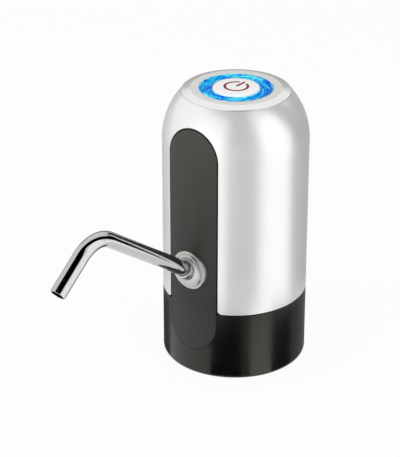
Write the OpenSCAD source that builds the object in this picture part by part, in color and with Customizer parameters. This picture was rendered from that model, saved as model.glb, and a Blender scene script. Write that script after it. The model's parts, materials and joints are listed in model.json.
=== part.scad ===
// Electric pump that stands on the neck of a water jug.
// The origin is at the bottom centre of the neck bore, +Z is up and the spout points to -Y.

/* [Body] */
// Outside diameter of the body
body_d = 70; // [70:0.5:78]
// Height of the flat ring on top
body_h = 137.5; // [134:0.5:146]
// Wall of the white shell
shell_wall = 2; // [1.6:0.1:2.4]
// Height of the seam between the base and the shell
seam_z = 34.5; // [33:0.5:37]
// Open width of the seam line
seam_gap = 0.3; // [0.1:0.1:0.5]

/* [Base] */
// Bore that drops over the jug's neck
neck_d = 56; // [53:0.5:57]
// How far the neck goes in
neck_depth = 18; // [16:0.5:19]
// Length of the close lower stretch of that bore
guide_l = 8; // [5:0.5:8]
// Thickness of the seal on the neck's rim
seal_t = 2; // [1.5:0.5:2.5]
// Width of the seal on the neck's rim
seal_w = 3.5; // [2.5:0.5:4]
// Wall of the base
base_wall = 4; // [3.6:0.1:4.2]
// Rounding of the base's bottom edge
base_round = 1.5; // [0.8:0.1:1.8]
// Thickness of the floor above the neck
deck_t = 2.5; // [2:0.5:3]
// Height of the rim that locates the shell
rim_h = 6; // [4:0.5:6]

/* [Front panel] */
// Width of the panel
panel_w = 28.2; // [26:0.2:29]
// Drop from the flat top to the panel's arch
panel_top = 10.9; // [9.5:0.1:17.5]
// Bottom of the panel's lower arch
panel_low = 12.7; // [8:0.1:16]
// Thickness of the panel
panel_t = 3.2; // [2.8:0.1:3.5]
// Thickness of the panel's tongue in the base
tongue_t = 1.9; // [1.5:0.1:2]
// Open line round the panel
panel_gap = 0.45; // [0.3:0.05:0.7]
// Width of the flange behind the shell
flange_w = 2; // [1.5:0.5:3]
// Rounded lower corners of the shell's window
corner_r = 2; // [1:0.5:3]

/* [Top] */
// Radius of the bevelled top ring
bezel_r = 25.5; // [25:0.1:26]
// Outer radius of its flat
bezel_flat_r = 21.6; // [20:0.1:22]
// Height of the bevel
bevel_h = 0.95; // [0.6:0.05:1.2]
// Height of the ring's edge
bezel_edge = 0.55; // [0.4:0.05:0.8]
// Outer radius of the light channel
channel_r = 17.6; // [17:0.1:18]
// Depth of the light channel
channel_h = 1.3; // [0.8:0.1:1.5]
// Radius of the button
button_r = 11.3; // [10:0.1:12]
// Height of the button above the flat
button_up = 0.5; // [0.3:0.1:0.8]
// Travel of the button
button_travel = 0.8; // [0.4:0.1:0.8]
// Outer radius of the power symbol
icon_r = 5.9; // [4:0.1:7]
// Stroke of the power symbol
icon_w = 0.9; // [0.6:0.1:1.2]

/* [Spout] */
// Height at which the spout's axis crosses the collar
spout_z = 55.6; // [53:0.2:58]
// Rise of the spout's long leg, in degrees
spout_rise = 34.4; // [30:0.2:38]
// Length of the long leg outside the collar's plane
spout_leg = 67; // [40:1:90]
// Bend radius of the spout's knee
spout_bend_r = 16.5; // [12:0.5:24]
// Fall of the short leg, in degrees
spout_fall = 38.3; // [20:0.1:60]
// Length of the short leg
spout_tip = 19.9; // [10:0.1:40]
// Diameter of the tube
spout_d = 7.4; // [6.8:0.1:7.6]
// Wall of the tube
spout_wall = 0.6; // [0.4:0.1:0.8]
// Radius of the collar's flange
collar_r = 9.65; // [9.4:0.05:11]
// How far the collar stands out
collar_h = 3.1; // [2.6:0.1:3.6]
// Length of the collar's plug inside the socket
plug_l = 14; // [12:0.5:14.5]

/* [Pump] */
// Gear module
gear_m = 0.9; // [0.84:0.01:0.94]
// Teeth on each gear
gear_teeth = 12; // [11:1:12]
// Width of the gears
gear_w = 8; // [6:0.5:9]
// Wall of the pump round the gears
pump_wall = 2.7; // [2.4:0.1:2.9]
// Thickness of the cover with the ports
cover_t = 8; // [7:0.5:9]
// Offset of the ports from the middle of the gears
port_off = 5; // [4.6:0.1:5.2]
// Bore of the ports
port_r = 1.6; // [1.2:0.1:1.8]
// Outside radius of the silicone hoses
hose_r = 3.5; // [3.3:0.1:3.7]

/* [Motor and cell] */
// Diameter of the motor
motor_d = 24.4; // [23:0.1:24.6]
// Length of the motor's can
motor_l = 27.8; // [26:0.2:31]
// Diameter of the motor's shaft
shaft_d = 2; // [1.8:0.1:2.2]
// Diameter of the cell
cell_d = 18.5; // [18:0.1:18.8]
// Length of the cell
cell_l = 65; // [64:0.5:68]

/* [Fits] */
// Gap between faces that sit on each other
seat = 0.05; // [0.02:0.01:0.08]
// Radial gap of parts that plug together
plug_gap = 0.15; // [0.1:0.05:0.2]
// Radial gap of parts that turn or slide
run_gap = 0.05; // [0.03:0.01:0.08]
// Gap between parts that must not touch
free_gap = 0.3; // [0.2:0.05:0.4]

/* [Hidden] */
$fn = 96;
big = 200;

// Clearances of a thread or pin in its hole, a part pressed on a shaft and a part soldered on a board
grip = 0.02;
press = 0.01;
solder = 0.03;

// Screws: radius of the shank, radius of the head and height of the head
base_screw = [1.5, 2.7, 1.9];
pump_screw = [1.25, 2.1, 1.6];
elbow_screw = [0.95, 1.8, 1.3];
board_screw = [0.8, 1.6, 1.2];

body_r = body_d / 2;
shell_in_r = body_r - shell_wall;
base_in_r = body_r - base_wall;
neck_r = neck_d / 2;
sleeve_short = 0.5;
neck_relief = 0.4;

// Base levels
deck_z = neck_depth + seal_t + seat;
deck_top = deck_z + deck_t;
plate_z = deck_top + seat;
plate_t = 4;
plate_top = plate_z + plate_t;
plate_r = base_in_r - 1.5;
base_screw_at = 14.5;
base_bite = 3.4;

// Inlet through the base's floor
shank_r = 3.6;
nipple_r = 3.5;
nipple_flange_t = 2.4;
nipple_clear = 0.5;
nipple_end = guide_l + nipple_clear;
inlet_gasket_t = 0.8;
nut_h = 3;
shank_end = deck_top + nut_h + 0.8;

// Top levels, from the flat ring down
bezel_z = body_h - bevel_h - bezel_edge;
shell_top = bezel_z - seat;
lip_step = 0.3;
dome_z = shell_top - sqrt(pow(body_r, 2) - pow(bezel_r + lip_step, 2));
mouth_r = sqrt(pow(shell_in_r, 2) - pow(shell_top - dome_z, 2)) + 0.35;
light_top = body_h - channel_h;
light_bottom = light_top - 3;
light_flange_t = 1.35;
light_in_r = button_r + free_gap;
light_flange_r = channel_r + 1.2;
button_top = body_h + button_up;
button_flange_t = 1.1;
button_flange_top = light_bottom - 0.1;
plunger_top = button_flange_top + 0.1;
switch_top = plunger_top - button_travel - 0.4;
switch_h = 3.2;
switch_floor = 0.6;
plunger_r = 1.75;
board_top = switch_top - switch_h - seat;
plunger_z = board_top + seat + switch_floor + button_travel + free_gap;
board_t = 1.6;
board_r = 22.6;
post_r = 1.5;
post_turns = [90, 210, 330];
post_at = light_flange_r + plug_gap + post_r;
led_at = 14.5;
icon_t = 0.5;

// Front panel
panel_r = panel_w / 2;
panel_end = body_h - panel_top;
panel_step_z = seam_z + rim_h + 0.6;

// Spout frame: height along the spout's axis is measured from the collar's plane
collar_out = 0.8;
lip_r = 4.9;
lip_end = 5.2;
plug_r = 5.6;
socket_r = plug_r + 0.45;
groove_w = 1.6;
groove_r = 4.6;
ring_r = (socket_r - groove_r) / 2 - grip;
groove_at = [-10.6, -12.9];
elbow_r = socket_r + 2.1;
elbow_end_r = 6;
barb_t = -plug_l - 5;
barb_y = -(body_r + collar_out + barb_t * cos(spout_rise));
barb_z = spout_z + barb_t * sin(spout_rise);
elbow_plate_t = 2;
elbow_screw_x = 8.5;
elbow_screw_z = spout_z + 10.4;
pilot_skin = 1.9;
elbow_seat = sqrt(pow(body_r - panel_t - elbow_plate_t - seat, 2) - pow(elbow_screw_x, 2)) + 0.4;

// Pump: two gears side by side along Y, with the motor above the rear one
pump_x = -1.5;
pump_y = 3;
pitch_r = gear_m * gear_teeth / 2;
gear_out_r = pitch_r + 0.85 * gear_m;
gear_root_r = pitch_r - 1.2 * gear_m;
drive = [pump_x, pump_y + pitch_r];
idler = [pump_x, pump_y - pitch_r];
inlet = [pump_x + port_off, pump_y];
outlet = [pump_x - port_off, pump_y];
tip_gap = 0.12;
pump_r = gear_out_r + tip_gap + pump_wall;
ear_r = 2.4;
ear_off = [pump_r + 0.2, pitch_r + 1.8];
ears = [for (sx = [-1, 1]) for (sy = [-1, 1]) [pump_x + sx * ear_off[0], pump_y + sy * ear_off[1]]];
pump_side = pump_r * 0.98;
cover_z = barb_z - cover_t / 2;
gasket_t = 0.6;
gasket_z = cover_z + cover_t + seat;
pump_z = gasket_z + gasket_t + seat;
cavity_h = gear_w + 0.2;
pump_top_t = 5.2;
motor_z = pump_z + cavity_h + pump_top_t;
ear_top = pump_z + 6.5;
pump_screw_z = plate_z + plate_t / 2;
cup_r = motor_d / 2 + 1.4;
barb_r = 2.5;
barb_ridge = 0.35;
barb_l = 4.8;
hose_in_r = barb_r - 0.3;
idler_pin_r = 1.5;
idler_pin_z = cover_z + 3;
seal_r = 3;

// Motor
can_r = motor_d / 2;
can_t = 0.6;
end_cap_z = motor_z + motor_l;
end_cap_t = 3;
shaft_r = shaft_d / 2;
boss_r = 3;
bush_r = 2.2;
boss_h = 1.8;
magnet_in_r = 9.1;
armature_r = 8.6;
commutator_r = 3;
brush_x = commutator_r + 0.1;
terminal_x = 6;

// Cell, against the base's locating rim on the right
cell_r = cell_d / 2;
cell_turn = -25;
cell_at = (base_in_r - cell_r - free_gap) * [cos(cell_turn), sin(cell_turn)];
cell_gap = 0.25;
cell_z = plate_top + 0.4;
cell_top = cell_z + cell_l;
tab_t = 0.25;

// Charging board at the back
charge_z = 46;
charge_t = 1.2;
charge_w = 22;
charge_y = [drive[1] + cup_r + 1.2, 30.6];
usb_w = 7.5;
usb_h = 2.7;
usb_l = 6.6;
usb_y = body_r - 0.8 - usb_l;
usb_z = charge_z + charge_t + seat;
light_x = 8.2;
light_r = 1;

// Wires
lead_r = 0.65;
lead_end = charge_z + charge_t + 0.1;

// Shapes that repeat

module tube(r_out, r_in, h) {
  difference() {
    cylinder(r = r_out, h = h);
    translate([0, 0, -1]) cylinder(r = r_in, h = h + 2);
  }
}

// The body's outside, moved inwards by a distance
module body_form(inset) {
  cylinder(r = body_r - inset, h = dome_z);
  translate([0, 0, dome_z]) sphere(r = body_r - inset);
}

// Arched outline of the panel, grown by a distance, seen from the front
module arch(grow) {
  r = panel_r + grow;
  for (z = [panel_low + panel_r, panel_end - panel_r])
    translate([0, z]) circle(r);
  translate([-r, panel_low + panel_r]) square([2 * r, panel_end - panel_low - 2 * panel_r]);
}

// Stands a front outline up and runs it from the axis out through the front
module front_cut() {
  rotate([90, 0, 0]) linear_extrude(big / 2) children();
}

// Puts a shape on the spout's axis, with its +Z along the long leg
module on_spout(t = 0) {
  translate([0, -body_r - collar_out, spout_z])
    rotate([90 - spout_rise, 0, 0])
      translate([0, 0, t])
        children();
}

// Screw with its shank up, a head below z = 0 and a cross recess
module screw(size, l) {
  r = size[0];
  head_r = size[1];
  head_h = size[2];
  difference() {
    union() {
      cylinder(r = r, h = l);
      translate([0, 0, -head_h]) cylinder(r = head_r, h = head_h);
    }
    for (a = [0, 90])
      translate([0, 0, -head_h]) rotate(a)
        cube([head_r * 1.2, head_r * 0.3, head_h * 1.1], center = true);
  }
}

// Hose barb along +Z
module barb(grow = 0) {
  cylinder(r = barb_r + grow, h = barb_l);
  for (z = [1.2, 3])
    translate([0, 0, z]) cylinder(r1 = barb_r + barb_ridge + grow, r2 = barb_r + grow, h = 1.5);
}

// Outline of the pump, with a screw ear at each corner
module pump_outline(with_ears) {
  for (p = [drive, idler])
    translate(p) circle(pump_r);
  translate([pump_x - pump_side, idler[1]]) square([2 * pump_side, 2 * pitch_r]);
  if (with_ears)
    for (p = ears)
      translate(p) circle(ear_r);
}

// Space that the gears and ports take up
module gear_room(grow) {
  for (p = [drive, idler])
    translate(p) circle(gear_out_r + tip_gap + grow);
  for (p = [inlet, outlet])
    translate(p) circle(port_r + 0.8 + grow);
}

// Involute tooth flank as an angle from the tooth's middle
pressure = 25;
base_circle = pitch_r * cos(pressure);
backlash = 0.16;
function involute(a) = tan(a) * 180 / PI - a;
half_tooth = 90 / gear_teeth - backlash / pitch_r * 90 / PI;
function flank(r) = half_tooth + involute(pressure) - involute(acos(min(1, base_circle / r)));
flank_steps = 5;
flank_r = [for (i = [0:flank_steps]) max(base_circle, gear_root_r)
  + (gear_out_r - max(base_circle, gear_root_r)) * i / flank_steps];
function polar(r, a) = [r * cos(a), r * sin(a)];
tooth = concat(
  [polar(gear_root_r, -flank(flank_r[0]))],
  [for (r = flank_r) polar(r, -flank(r))],
  [for (i = [flank_steps:-1:0]) polar(flank_r[i], flank(flank_r[i]))],
  [polar(gear_root_r, flank(flank_r[0]))]
);
function turned(p, a) = [p[0] * cos(a) - p[1] * sin(a), p[0] * sin(a) + p[1] * cos(a)];

module gear(bore) {
  outline = [for (k = [0:gear_teeth - 1]) for (p = tooth) turned(p, k * 360 / gear_teeth)];
  difference() {
    linear_extrude(gear_w) polygon(outline);
    translate([0, 0, -1]) cylinder(r = bore, h = gear_w + 2);
  }
}

// Wire along a smooth line through its points
wire_sides = 8;
wire_steps = 5;
function unit(v) = v / norm(v);
function mix4(a, b, c, d, u) = 0.5 * (2 * b + (c - a) * u
  + (2 * a - 5 * b + 4 * c - d) * u * u + (3 * b - a - 3 * c + d) * u * u * u);
function smooth(p) = concat(
  [for (i = [0:len(p) - 2]) for (s = [0:wire_steps - 1])
    mix4(p[max(0, i - 1)], p[i], p[i + 1], p[min(len(p) - 1, i + 2)], s / wire_steps)],
  [p[len(p) - 1]]);
function heading(p, i) = unit(p[min(len(p) - 1, i + 1)] - p[max(0, i - 1)]);
function side_at(p, i) = i == 0
  ? unit(cross(heading(p, 0), [0.31, 0.85, 0.42]))
  : let (s = side_at(p, i - 1), h = heading(p, i)) unit(s - (s * h) * h);

module wire(points, r) {
  line = smooth(points);
  last = len(line) - 1;
  sides = [for (i = [0:last]) side_at(line, i)];
  rings = [for (i = [0:last]) for (k = [0:wire_sides - 1])
    let (a = k * 360 / wire_sides)
    line[i] + r * (cos(a) * sides[i] + sin(a) * cross(heading(line, i), sides[i]))];
  walls = [for (i = [0:last - 1]) for (k = [0:wire_sides - 1])
    let (a = i * wire_sides + k, b = i * wire_sides + (k + 1) % wire_sides)
    each [[a, a + wire_sides, b], [b, a + wire_sides, b + wire_sides]]];
  top = last * wire_sides;
  caps = [for (k = [1:wire_sides - 2])
    each [[0, k, k + 1], [top, top + k + 1, top + k]]];
  polyhedron(rings, concat(walls, caps));
}

// Casing

module outer_shell() {
  usb_hole = [usb_w + 0.8, usb_h + 0.8];
  recess_w = 1.6;
  recess_d = 0.9;
  usb_mid = usb_z + usb_h / 2;
  color("white")
    difference() {
      intersection() {
        body_form(0);
        translate([0, 0, seam_z + seam_gap])
          cylinder(r = big, h = shell_top - seam_z - seam_gap);
      }
      body_form(shell_wall);
      cylinder(r = mouth_r, h = big);
      front_cut() arch(0);
      front_cut() window_corners();
      translate([-usb_hole[0] / 2, 0, usb_mid - usb_hole[1] / 2])
        cube([usb_hole[0], big, usb_hole[1]]);
      translate([-usb_hole[0] / 2 - recess_w, body_r - recess_d, usb_mid - usb_hole[1] / 2 - recess_w])
        cube([usb_hole[0] + 2 * recess_w, big, usb_hole[1] + 2 * recess_w]);
      translate([light_x, 0, usb_mid]) rotate([-90, 0, 0])
        cylinder(r = light_r + plug_gap, h = big);
    }
}

// Rounds the shell's corners where the window meets the seam
module window_corners() {
  low = seam_z + seam_gap;
  for (side = [0, 1])
    mirror([side, 0]) difference() {
      translate([panel_r - 0.1, low - 1]) square([corner_r + 0.1, corner_r + 1]);
      translate([panel_r + corner_r, low + corner_r]) circle(corner_r);
    }
}

module front_panel() {
  color("dimgray")
    difference() {
      union() {
        intersection() {
          difference() {
            body_form(0);
            body_form(panel_t);
          }
          front_cut() arch(-panel_gap);
          translate([0, 0, panel_step_z]) cylinder(r = big, h = big);
        }
        intersection() {
          difference() {
            body_form(0);
            body_form(tongue_t);
          }
          front_cut() arch(-panel_gap);
          cylinder(r = big, h = panel_step_z + 1);
        }
        intersection() {
          difference() {
            body_form(shell_wall + plug_gap);
            body_form(panel_t);
          }
          front_cut() arch(flange_w);
          translate([0, 0, panel_step_z]) cylinder(r = big, h = big);
        }
      }
      on_spout(-plug_l) cylinder(r = socket_r + plug_gap, h = 2 * plug_l);
      for (side = [-1, 1])
        translate([side * elbow_screw_x, pilot_skin - body_r, elbow_screw_z]) rotate([-90, 0, 0])
          cylinder(r = elbow_screw[0] + grip, h = 2 * panel_t);
    }
}

module base_housing() {
  round_steps = 8;
  bottom_edge = [for (i = [0:round_steps])
    let (a = -90 + 90 * i / round_steps)
    [body_r - base_round + base_round * cos(a), base_round + base_round * sin(a)]];
  wall = concat(
    [[base_in_r, 0]],
    bottom_edge,
    [[body_r, seam_z], [shell_in_r - plug_gap, seam_z], [shell_in_r - plug_gap, seam_z + rim_h],
     [base_in_r, seam_z + rim_h], [base_in_r, deck_top], [0, deck_top], [0, deck_z], [base_in_r, deck_z]]);
  color([0.12, 0.12, 0.12])
    difference() {
      rotate_extrude() polygon(wall);
      difference() {
        front_cut() arch(0);
        cylinder(r = body_r - tongue_t - plug_gap, h = big);
      }
      translate([inlet[0], inlet[1], 0]) cylinder(r = shank_r + plug_gap, h = big);
      for (sx = [-1, 1]) for (sy = [-1, 1])
        translate([sx * base_screw_at, sy * base_screw_at, 0])
          cylinder(r = base_screw[0] + plug_gap, h = big);
    }
}

module neck_sleeve() {
  color("darkslategray")
    difference() {
      tube(base_in_r - plug_gap, neck_r, neck_depth - sleeve_short);
      translate([0, 0, guide_l]) cylinder(r = neck_r + neck_relief, h = neck_depth);
    }
}

module neck_seal() {
  color("gray")
    translate([0, 0, neck_depth]) tube(neck_r - free_gap, neck_r - free_gap - seal_w, seal_t);
}

module base_screws() {
  color("silver")
    for (sx = [-1, 1]) for (sy = [-1, 1])
      translate([sx * base_screw_at, sy * base_screw_at, deck_z - seat])
        screw(base_screw, deck_t + base_bite);
}

// Top

module top_bezel() {
  lip_z = light_bottom + light_flange_t + seat;
  skirt_r = mouth_r - plug_gap;
  skirt_t = 1.5;
  skirt_z = light_bottom - 0.6;
  web_z = light_bottom + 0.4;
  ring = [
    [channel_r, body_h], [bezel_flat_r, body_h], [bezel_r, bezel_z + bezel_edge], [bezel_r, bezel_z],
    [skirt_r, bezel_z], [skirt_r, skirt_z], [skirt_r - skirt_t, skirt_z],
    [skirt_r - skirt_t, web_z], [light_flange_r + plug_gap, web_z],
    [light_flange_r + plug_gap, lip_z], [channel_r, lip_z]
  ];
  color("gainsboro")
    difference() {
      union() {
        rotate_extrude() polygon(ring);
        for (a = post_turns)
          rotate(a) translate([post_at, 0, board_top + seat])
            cylinder(r = post_r, h = web_z + 0.1 - board_top - seat);
      }
      for (a = post_turns)
        rotate(a) translate([post_at, 0, board_top - 1]) cylinder(r = board_screw[0] + grip, h = 5);
    }
}

module light_ring() {
  ring = [
    [light_in_r, light_bottom], [light_flange_r, light_bottom],
    [light_flange_r, light_bottom + light_flange_t],
    [channel_r - plug_gap, light_bottom + light_flange_t],
    [channel_r - plug_gap, light_top], [light_in_r, light_top]
  ];
  color("deepskyblue")
    rotate_extrude() polygon(ring);
}

module power_button() {
  edge = 0.5;
  steps = 5;
  cap_t = 1.8;
  wall = 1.7;
  stem_r = 2.2;
  flange_r = button_r + 1.6;
  rounded = [for (i = [0:steps])
    let (a = 90 - 90 * i / steps)
    [button_r - edge + edge * cos(a), button_top - edge + edge * sin(a)]];
  low = button_flange_top - button_flange_t;
  cap = concat(
    [[0, button_top]],
    rounded,
    [[button_r, button_flange_top], [flange_r, button_flange_top], [flange_r, low],
     [button_r - wall, low], [button_r - wall, button_top - cap_t], [stem_r, button_top - cap_t],
     [stem_r, plunger_top + seat], [0, plunger_top + seat]]);
  color("white")
    difference() {
      rotate_extrude() polygon(cap);
      translate([0, 0, button_top - icon_t]) linear_extrude(2) icon_shape(grip);
    }
}

// Circle with a gap at the back and a bar through it
module icon_shape(grow) {
  gap = 20;
  difference() {
    circle(icon_r + grow);
    circle(icon_r - icon_w - grow);
    polygon([[0, 0], polar(2 * icon_r, 90 - gap), polar(2 * icon_r, 90 + gap)]);
  }
  translate([-icon_w / 2 - grow, -grow]) square([icon_w + 2 * grow, icon_r + 0.6 + 2 * grow]);
}

module power_icon() {
  color([0.55, 0.06, 0.2])
    translate([0, 0, button_top - icon_t + grip]) linear_extrude(icon_t - grip) icon_shape(0);
}

// Spout

module spout_collar() {
  flange = [
    [0, -6], [collar_r, -6], [collar_r, 0.7], [collar_r - 0.7, 1.4], [collar_r - 1.2, 1.45],
    [collar_r - 2.2, 2.2], [collar_r - 3.4, 2.8], [collar_r - 4.6, collar_h], [0, collar_h]
  ];
  lip = [
    [0, -3], [lip_r, -3], [lip_r, lip_end - 0.6], [lip_r - 0.2, lip_end - 0.2],
    [lip_r - 0.6, lip_end], [0, lip_end]
  ];
  color("silver")
    difference() {
      union() {
        difference() {
          translate([0, -body_r, spout_z]) rotate([90, 0, 0]) rotate_extrude() polygon(flange);
          cylinder(r = body_r + seat, h = big);
        }
        on_spout() rotate_extrude() polygon(lip);
        on_spout(-plug_l) cylinder(r = plug_r, h = plug_l);
      }
      on_spout(-plug_l - 1) cylinder(r = spout_d / 2 + run_gap, h = 2 * plug_l);
      for (t = groove_at)
        on_spout(t) tube(plug_r + 1, groove_r, groove_w);
    }
}

module spout_seals() {
  color([0.2, 0.2, 0.2])
    for (t = groove_at)
      on_spout(t + groove_w / 2) rotate_extrude()
        translate([groove_r + grip + ring_r, 0]) circle(ring_r, $fn = 32);
}

// The tube's run at one radius: knee, long leg, and short leg a hair thinner where it enters the knee
module spout_run(r) {
  bend = spout_rise + spout_fall;
  hair = 0.02;
  overlap = 0.5;
  translate([0, -spout_bend_r, spout_leg]) rotate([90, 0, 90]) {
    rotate_extrude(angle = bend) translate([spout_bend_r, 0]) circle(r);
    translate([spout_bend_r, 0, 0]) rotate([90, 0, 0]) cylinder(r = r, h = spout_leg + plug_l);
    rotate(bend) translate([spout_bend_r, -overlap, 0]) rotate([-90, 0, 0])
      cylinder(r = r - hair, h = spout_tip + overlap);
  }
}

module spout_tube() {
  color("lightgray")
    on_spout() difference() {
      spout_run(spout_d / 2);
      spout_run(spout_d / 2 - spout_wall);
    }
}

module outlet_elbow() {
  back_r = body_r - panel_t - seat;
  color("whitesmoke")
    difference() {
      union() {
        intersection() {
          union() {
            on_spout(-plug_l - 1.2) cylinder(r = elbow_r, h = plug_l);
            intersection() {
              tube(back_r, back_r - elbow_plate_t, big);
              translate([-elbow_r - 4, -big, spout_z - 14]) cube([2 * elbow_r + 8, big, 27.5]);
            }
          }
          cylinder(r = back_r, h = big);
        }
        on_spout(barb_t - 2.6) cylinder(r = elbow_end_r, h = 7);
        translate([-elbow_end_r + 0.5, barb_y, barb_z]) rotate([0, -90, 0]) barb();
      }
      on_spout(-plug_l - seat) cylinder(r = socket_r, h = 3 * plug_l);
      on_spout(barb_t) cylinder(r = 2.2, h = plug_l);
      translate([0, barb_y, barb_z]) rotate([0, -90, 0]) cylinder(r = port_r, h = 20);
      for (side = [-1, 1])
        translate([side * elbow_screw_x, -body_r - 1, elbow_screw_z]) rotate([-90, 0, 0]) {
          cylinder(r = elbow_screw[0] + plug_gap, h = 12);
          translate([0, 0, body_r + 1 - elbow_seat]) cylinder(r = elbow_screw[1] + free_gap, h = 12);
        }
    }
}

module elbow_screws() {
  color("silver")
    for (side = [-1, 1])
      translate([side * elbow_screw_x, seat - elbow_seat, elbow_screw_z]) rotate([90, 0, 0])
        screw(elbow_screw, body_r - pilot_skin - elbow_seat - free_gap);
}

// Inlet

module inlet_nipple() {
  flange_z = deck_z - inlet_gasket_t - 2 * seat - nipple_flange_t;
  color("whitesmoke")
    translate([inlet[0], inlet[1], 0])
      difference() {
        union() {
          translate([0, 0, nipple_end]) cylinder(r = nipple_r, h = flange_z - nipple_end + 1);
          translate([0, 0, flange_z]) cylinder(r = 6.6, h = nipple_flange_t);
          translate([0, 0, flange_z + 1]) cylinder(r = shank_r, h = shank_end - flange_z - 1);
          translate([0, 0, shank_end]) barb();
        }
        cylinder(r = port_r + 0.1, h = big);
      }
}

module inlet_gasket() {
  color([0.25, 0.25, 0.25])
    translate([inlet[0], inlet[1], deck_z - inlet_gasket_t - seat])
      tube(6.2, shank_r + plug_gap, inlet_gasket_t);
}

module inlet_nut() {
  color("whitesmoke")
    translate([inlet[0], inlet[1], deck_top + seat])
      difference() {
        cylinder(r = 5.2, h = nut_h, $fn = 6);
        translate([0, 0, -1]) cylinder(r = shank_r + grip, h = nut_h + 2);
      }
}

module inlet_hose() {
  low = shank_end + free_gap;
  color([0.9, 0.9, 0.9, 0.8])
    translate([inlet[0], inlet[1], 0])
      difference() {
        translate([0, 0, low]) cylinder(r = hose_r, h = cover_z - free_gap - low);
        cylinder(r = hose_in_r, h = big);
        translate([0, 0, shank_end]) barb(grip);
        translate([0, 0, cover_z]) mirror([0, 0, 1]) barb(grip);
      }
}

// Frame

module chassis() {
  cup_top = cover_z - 1;
  color("lightyellow")
    difference() {
      union() {
        translate([0, 0, plate_z]) cylinder(r = plate_r, h = plate_t);
        for (p = ears)
          translate([p[0], p[1], plate_top - 1])
            cylinder(r = ear_r + 0.4, h = cover_z - seat - plate_top + 1);
        intersection() {
          translate([cell_at[0], cell_at[1], plate_top - 1])
            cylinder(r = cell_r + cell_gap + 1.5, h = cup_top - plate_top + 1);
          cylinder(r = plate_r, h = big);
        }
        for (x = [-9, 9])
          translate([x, 27.4, plate_top - 1]) cylinder(r = 2, h = charge_z - seat - plate_top + 1);
        translate([cell_at[0], cell_at[1], 0]) rotate(80) {
          translate([cell_r + 0.35, -4, plate_top - 1]) cube([2.4, 8, cell_top + 3 - plate_top]);
          translate([cell_r - 3.2, -4, cell_top + 0.8]) cube([5.95, 8, 1.2]);
        }
      }
      translate([cell_at[0], cell_at[1], plate_top]) cylinder(r = cell_r + cell_gap, h = cell_l + 1);
      translate([cell_at[0], cell_at[1], plate_top]) rotate(125) translate([0, -3.5, 0])
        cube([16, 7, 30]);
      translate([inlet[0], inlet[1], 0]) cylinder(r = 5.6, h = big);
      for (p = ears)
        translate([p[0], p[1], 0]) {
          cylinder(r = pump_screw[0] + plug_gap, h = big);
          cylinder(r = pump_screw[1] + 0.2, h = pump_screw_z);
        }
      for (sx = [-1, 1]) for (sy = [-1, 1])
        translate([sx * base_screw_at, sy * base_screw_at, 0])
          cylinder(r = base_screw[0] + grip, h = plate_z + base_bite + 0.2);
    }
}

// Pump

module pump_cover() {
  color("dimgray")
    difference() {
      union() {
        translate([0, 0, cover_z]) linear_extrude(cover_t) pump_outline(true);
        translate([inlet[0], inlet[1], cover_z]) mirror([0, 0, 1]) barb();
        translate([pump_x - pump_side, pump_y, barb_z]) rotate([0, -90, 0]) barb();
      }
      translate([inlet[0], inlet[1], 0]) cylinder(r = port_r, h = big);
      translate([outlet[0], outlet[1], barb_z]) cylinder(r = port_r, h = big);
      translate([outlet[0] + port_r, outlet[1], barb_z]) rotate([0, -90, 0])
        cylinder(r = port_r, h = 30);
      translate([idler[0], idler[1], idler_pin_z]) cylinder(r = idler_pin_r + grip, h = big);
      for (p = ears)
        translate([p[0], p[1], 0]) cylinder(r = pump_screw[0] + plug_gap, h = big);
    }
}

module pump_gasket() {
  color("black")
    translate([0, 0, gasket_z]) linear_extrude(gasket_t)
      difference() {
        pump_outline(true);
        gear_room(0.2);
        for (p = ears)
          translate(p) circle(pump_screw[0] + plug_gap);
      }
}

module pump_body() {
  color("gray")
    difference() {
      union() {
        translate([0, 0, pump_z]) linear_extrude(ear_top - pump_z) pump_outline(true);
        translate([0, 0, pump_z]) linear_extrude(cavity_h + 3) pump_outline(false);
        translate([drive[0], drive[1], motor_z - 4]) cylinder(r = cup_r, h = 8);
      }
      translate([0, 0, pump_z - 1]) linear_extrude(cavity_h + 1) gear_room(0);
      translate([drive[0], drive[1], motor_z]) cylinder(r = can_r + seat, h = big);
      translate([drive[0], drive[1], motor_z - boss_h - 0.1]) cylinder(r = boss_r + plug_gap, h = big);
      translate([drive[0], drive[1], pump_z + cavity_h + 0.6]) cylinder(r = seal_r + run_gap, h = big);
      translate([drive[0], drive[1], 0]) cylinder(r = shaft_r + 0.25, h = big);
      translate([idler[0], idler[1], 0]) cylinder(r = idler_pin_r + grip, h = pump_z + cavity_h + 2);
      for (p = ears)
        translate([p[0], p[1], 0]) cylinder(r = pump_screw[0] + grip, h = ear_top - 1);
    }
}

module drive_gear() {
  color("ivory")
    translate([drive[0], drive[1], pump_z + 0.1]) rotate(-90) gear(shaft_r + press);
}

module idler_gear() {
  color("ivory")
    translate([idler[0], idler[1], pump_z + 0.1]) rotate(90 + 180 / gear_teeth) gear(idler_pin_r + run_gap);
}

module idler_pin() {
  color("silver")
    translate([idler[0], idler[1], idler_pin_z + 0.2])
      cylinder(r = idler_pin_r, h = pump_z + cavity_h + 1.6 - idler_pin_z);
}

module shaft_seal() {
  z = pump_z + cavity_h + 0.6 + seat;
  color("black")
    translate([drive[0], drive[1], z]) tube(seal_r, shaft_r + run_gap, motor_z - boss_h - 0.15 - z);
}

module pump_screws() {
  color("silver")
    for (p = ears)
      translate([p[0], p[1], pump_screw_z - seat]) screw(pump_screw, ear_top - 1.4 - pump_screw_z);
}

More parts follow.
